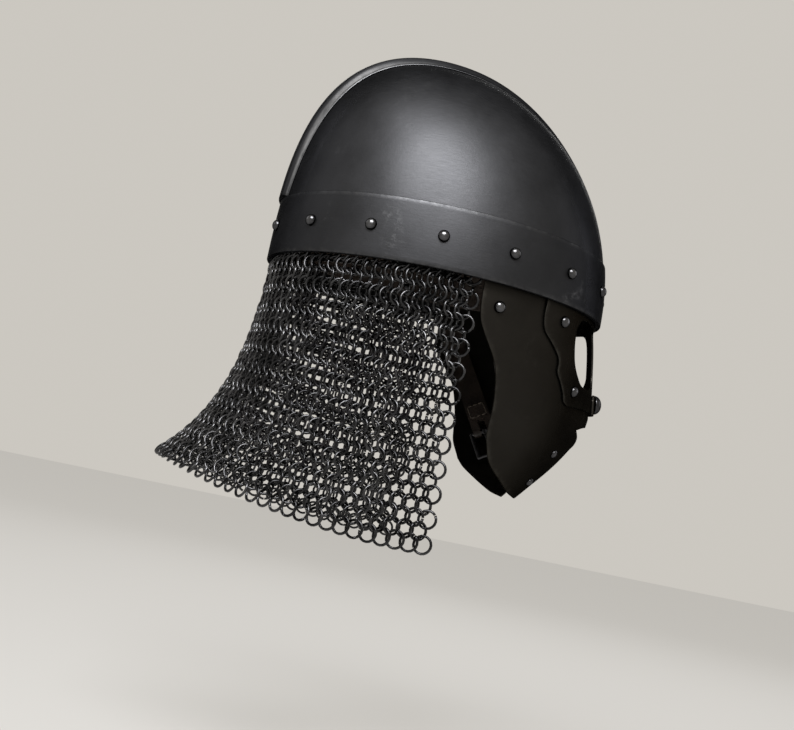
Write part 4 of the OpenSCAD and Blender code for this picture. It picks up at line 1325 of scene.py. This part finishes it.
# The lamps: place, target, size and share of the key lamp's power. Then the even light all round.
LAMPS = {
    "Key": ((-1.09, 0.28, 1.00), (-0.07, 0.02, 0.04), (1.05, 0.62), 1.0),
    "Front": ((-1.5, 0.30, 0.62), (0, 0, 0), (1.1, 0.6), 0.04),
    "Face": ((0.55, -1.5, 0.55), (0, 0, -0.02), (1.1, 1.0), 0.14),
    "Left": ((1.5, -0.2, 0.9), (0, 0, 0), (1.1, 0.8), 0.20),
    "Rear": ((0.35, 1.55, 0.75), (0, 0, 0), (1.0, 0.8), 0.05),
}
ROUND_LIGHT = (0.86, 0.86, 0.88)
ROUND_STRENGTH = 0.22
FLOOR_HALF = 6.0
FLOOR_GREY = (0.9, 0.9, 0.9)
FLOOR_BACKDROP_SHARE = 0.8


def area_lamp(name, place, target, size, power):
    """A lamp with a flat rectangular face, turned to its target."""
    lamp = bpy.data.lights.new(name, "AREA")
    lamp.shape = "RECTANGLE"
    lamp.size, lamp.size_y = size
    lamp.energy = power
    obj = bpy.data.objects.new(name, lamp)
    obj.location = place
    obj.rotation_euler = (Vector(target) - Vector(place)).to_track_quat("-Z", "Y").to_euler()
    bpy.context.scene.collection.objects.link(obj)


def show_backdrop(nodes, plain, shown, share, surface):
    """Shows the backdrop to rays that look at it, straight, by a reflection or through something."""
    rays = nodes.add("ShaderNodeLightPath").outputs
    seen = rays["Is Camera Ray"]
    for name in ("Is Glossy Ray", "Is Transmission Ray"):
        seen = nodes.math("MAXIMUM", seen, rays[name])
    pick = nodes.add("ShaderNodeMixShader")
    for socket, source in zip(pick.inputs, (nodes.math("MULTIPLY", seen, share), plain, shown)):
        nodes.link(source, socket)
    nodes.link(pick.outputs[0], surface)


def floor_finish(backdrop):
    """A pale floor that takes the shadow and, to the camera, has mostly the backdrop's colour."""
    m = Finish("Pale floor")
    m.feed("Base Color", FLOOR_GREY)
    m.feed("Roughness", 0.9)
    glow = m.add("ShaderNodeEmission")
    m.put(glow.inputs["Color"], backdrop)
    show_backdrop(m, m.shader.outputs[0], glow.outputs[0], FLOOR_BACKDROP_SHARE, m.surface)
    return m.material


def round_light(backdrop):
    """A world that lights evenly and shows the backdrop."""
    world = bpy.data.worlds.new("Studio")
    world.use_nodes = True
    nodes = Nodes(world.node_tree)
    shaders = []
    for colour, strength in ((ROUND_LIGHT, ROUND_STRENGTH), (backdrop, 1.0)):
        shader = nodes.add("ShaderNodeBackground")
        nodes.put(shader.inputs["Color"], colour)
        nodes.put(shader.inputs["Strength"], strength)
        shaders.append(shader.outputs[0])
    show_backdrop(nodes, *shaders, 1.0, nodes.add("ShaderNodeOutputWorld").inputs["Surface"])
    return world


class HELMET_OT_stage(bpy.types.Operator):
    """Set the camera, the lamps, the floor and the backdrop"""

    bl_idname = "helmet.stage"
    bl_label = "Stage"

    def execute(self, context):
        stage = context.scene.helmet_stage
        scene = context.scene
        camera = bpy.data.cameras.new("Camera")
        camera.sensor_fit = "HORIZONTAL"
        camera.angle = 2 * math.atan(IMAGE_WIDTH / 2 / FOCAL_PIXELS)
        eye = bpy.data.objects.new("Camera", camera)
        right = CAMERA_RIGHT.normalized()
        forward = right.cross(CAMERA_DOWN).normalized()
        up = -forward.cross(right).normalized()
        turn = Matrix((right, up, -forward)).transposed()
        eye.matrix_world = Matrix.Translation(CAMERA_PLACE) @ turn.to_4x4()
        scene.collection.objects.link(eye)
        scene.camera = eye

        backdrop = tuple(stage.backdrop)
        corners = [(x * FLOOR_HALF, y * FLOOR_HALF, 0) for x, y in ((-1, -1), (1, -1), (1, 1), (-1, 1))]
        floor = new_object("floor", np.array(corners) / MM, [(0, 1, 2, 3)])
        floor.data.transform(Matrix.Translation((0, 0, stage.floor_height)))
        floor.data.materials.append(floor_finish(backdrop))
        scene.world = round_light(backdrop)
        for name, (place, target, size, share) in LAMPS.items():
            area_lamp(name, place, target, size, stage.key_power * share)
        scene.view_settings.view_transform = "Standard"
        return {"FINISHED"}


class HELMET_PT_panel(bpy.types.Panel):
    """Lists the helmet's settings and pieces"""

    bl_idname = "HELMET_PT_panel"
    bl_label = "Helmet"
    bl_space_type = "VIEW_3D"
    bl_region_type = "UI"
    bl_category = "Helmet"

    def draw(self, context):
        for group in GROUPS:
            settings = getattr(context.scene, group)
            box = self.layout.box()
            for name in settings.bl_rna.properties.keys():
                if name not in ("rna_type", "name"):
                    box.prop(settings, name)
        for operator in OPERATORS:
            self.layout.operator(operator.bl_idname)


GROUPS = {
    "helmet_plates": HELMET_PG_plates,
    "helmet_rivets": HELMET_PG_rivets,
    "helmet_mail": HELMET_PG_mail,
    "helmet_stage": HELMET_PG_stage,
}
OPERATORS = (
    HELMET_OT_skull,
    HELMET_OT_crest,
    HELMET_OT_brow_band,
    HELMET_OT_guard,
    HELMET_OT_rivets,
    HELMET_OT_mail,
    HELMET_OT_lining,
    HELMET_OT_straps,
    HELMET_OT_stage,
)


def register():
    for cls in (*GROUPS.values(), *OPERATORS, HELMET_PT_panel):
        bpy.utils.register_class(cls)
    for name, group in GROUPS.items():
        setattr(bpy.types.Scene, name, bpy.props.PointerProperty(type=group))


def unregister():
    for name in GROUPS:
        delattr(bpy.types.Scene, name)
    for cls in (HELMET_PT_panel, *reversed(OPERATORS), *reversed(list(GROUPS.values()))):
        bpy.utils.unregister_class(cls)


def main():
    register()
    for operator in OPERATORS:
        group, name = operator.bl_idname.split(".")
        getattr(getattr(bpy.ops, group), name)()


if __name__ == "__main__":
    main()
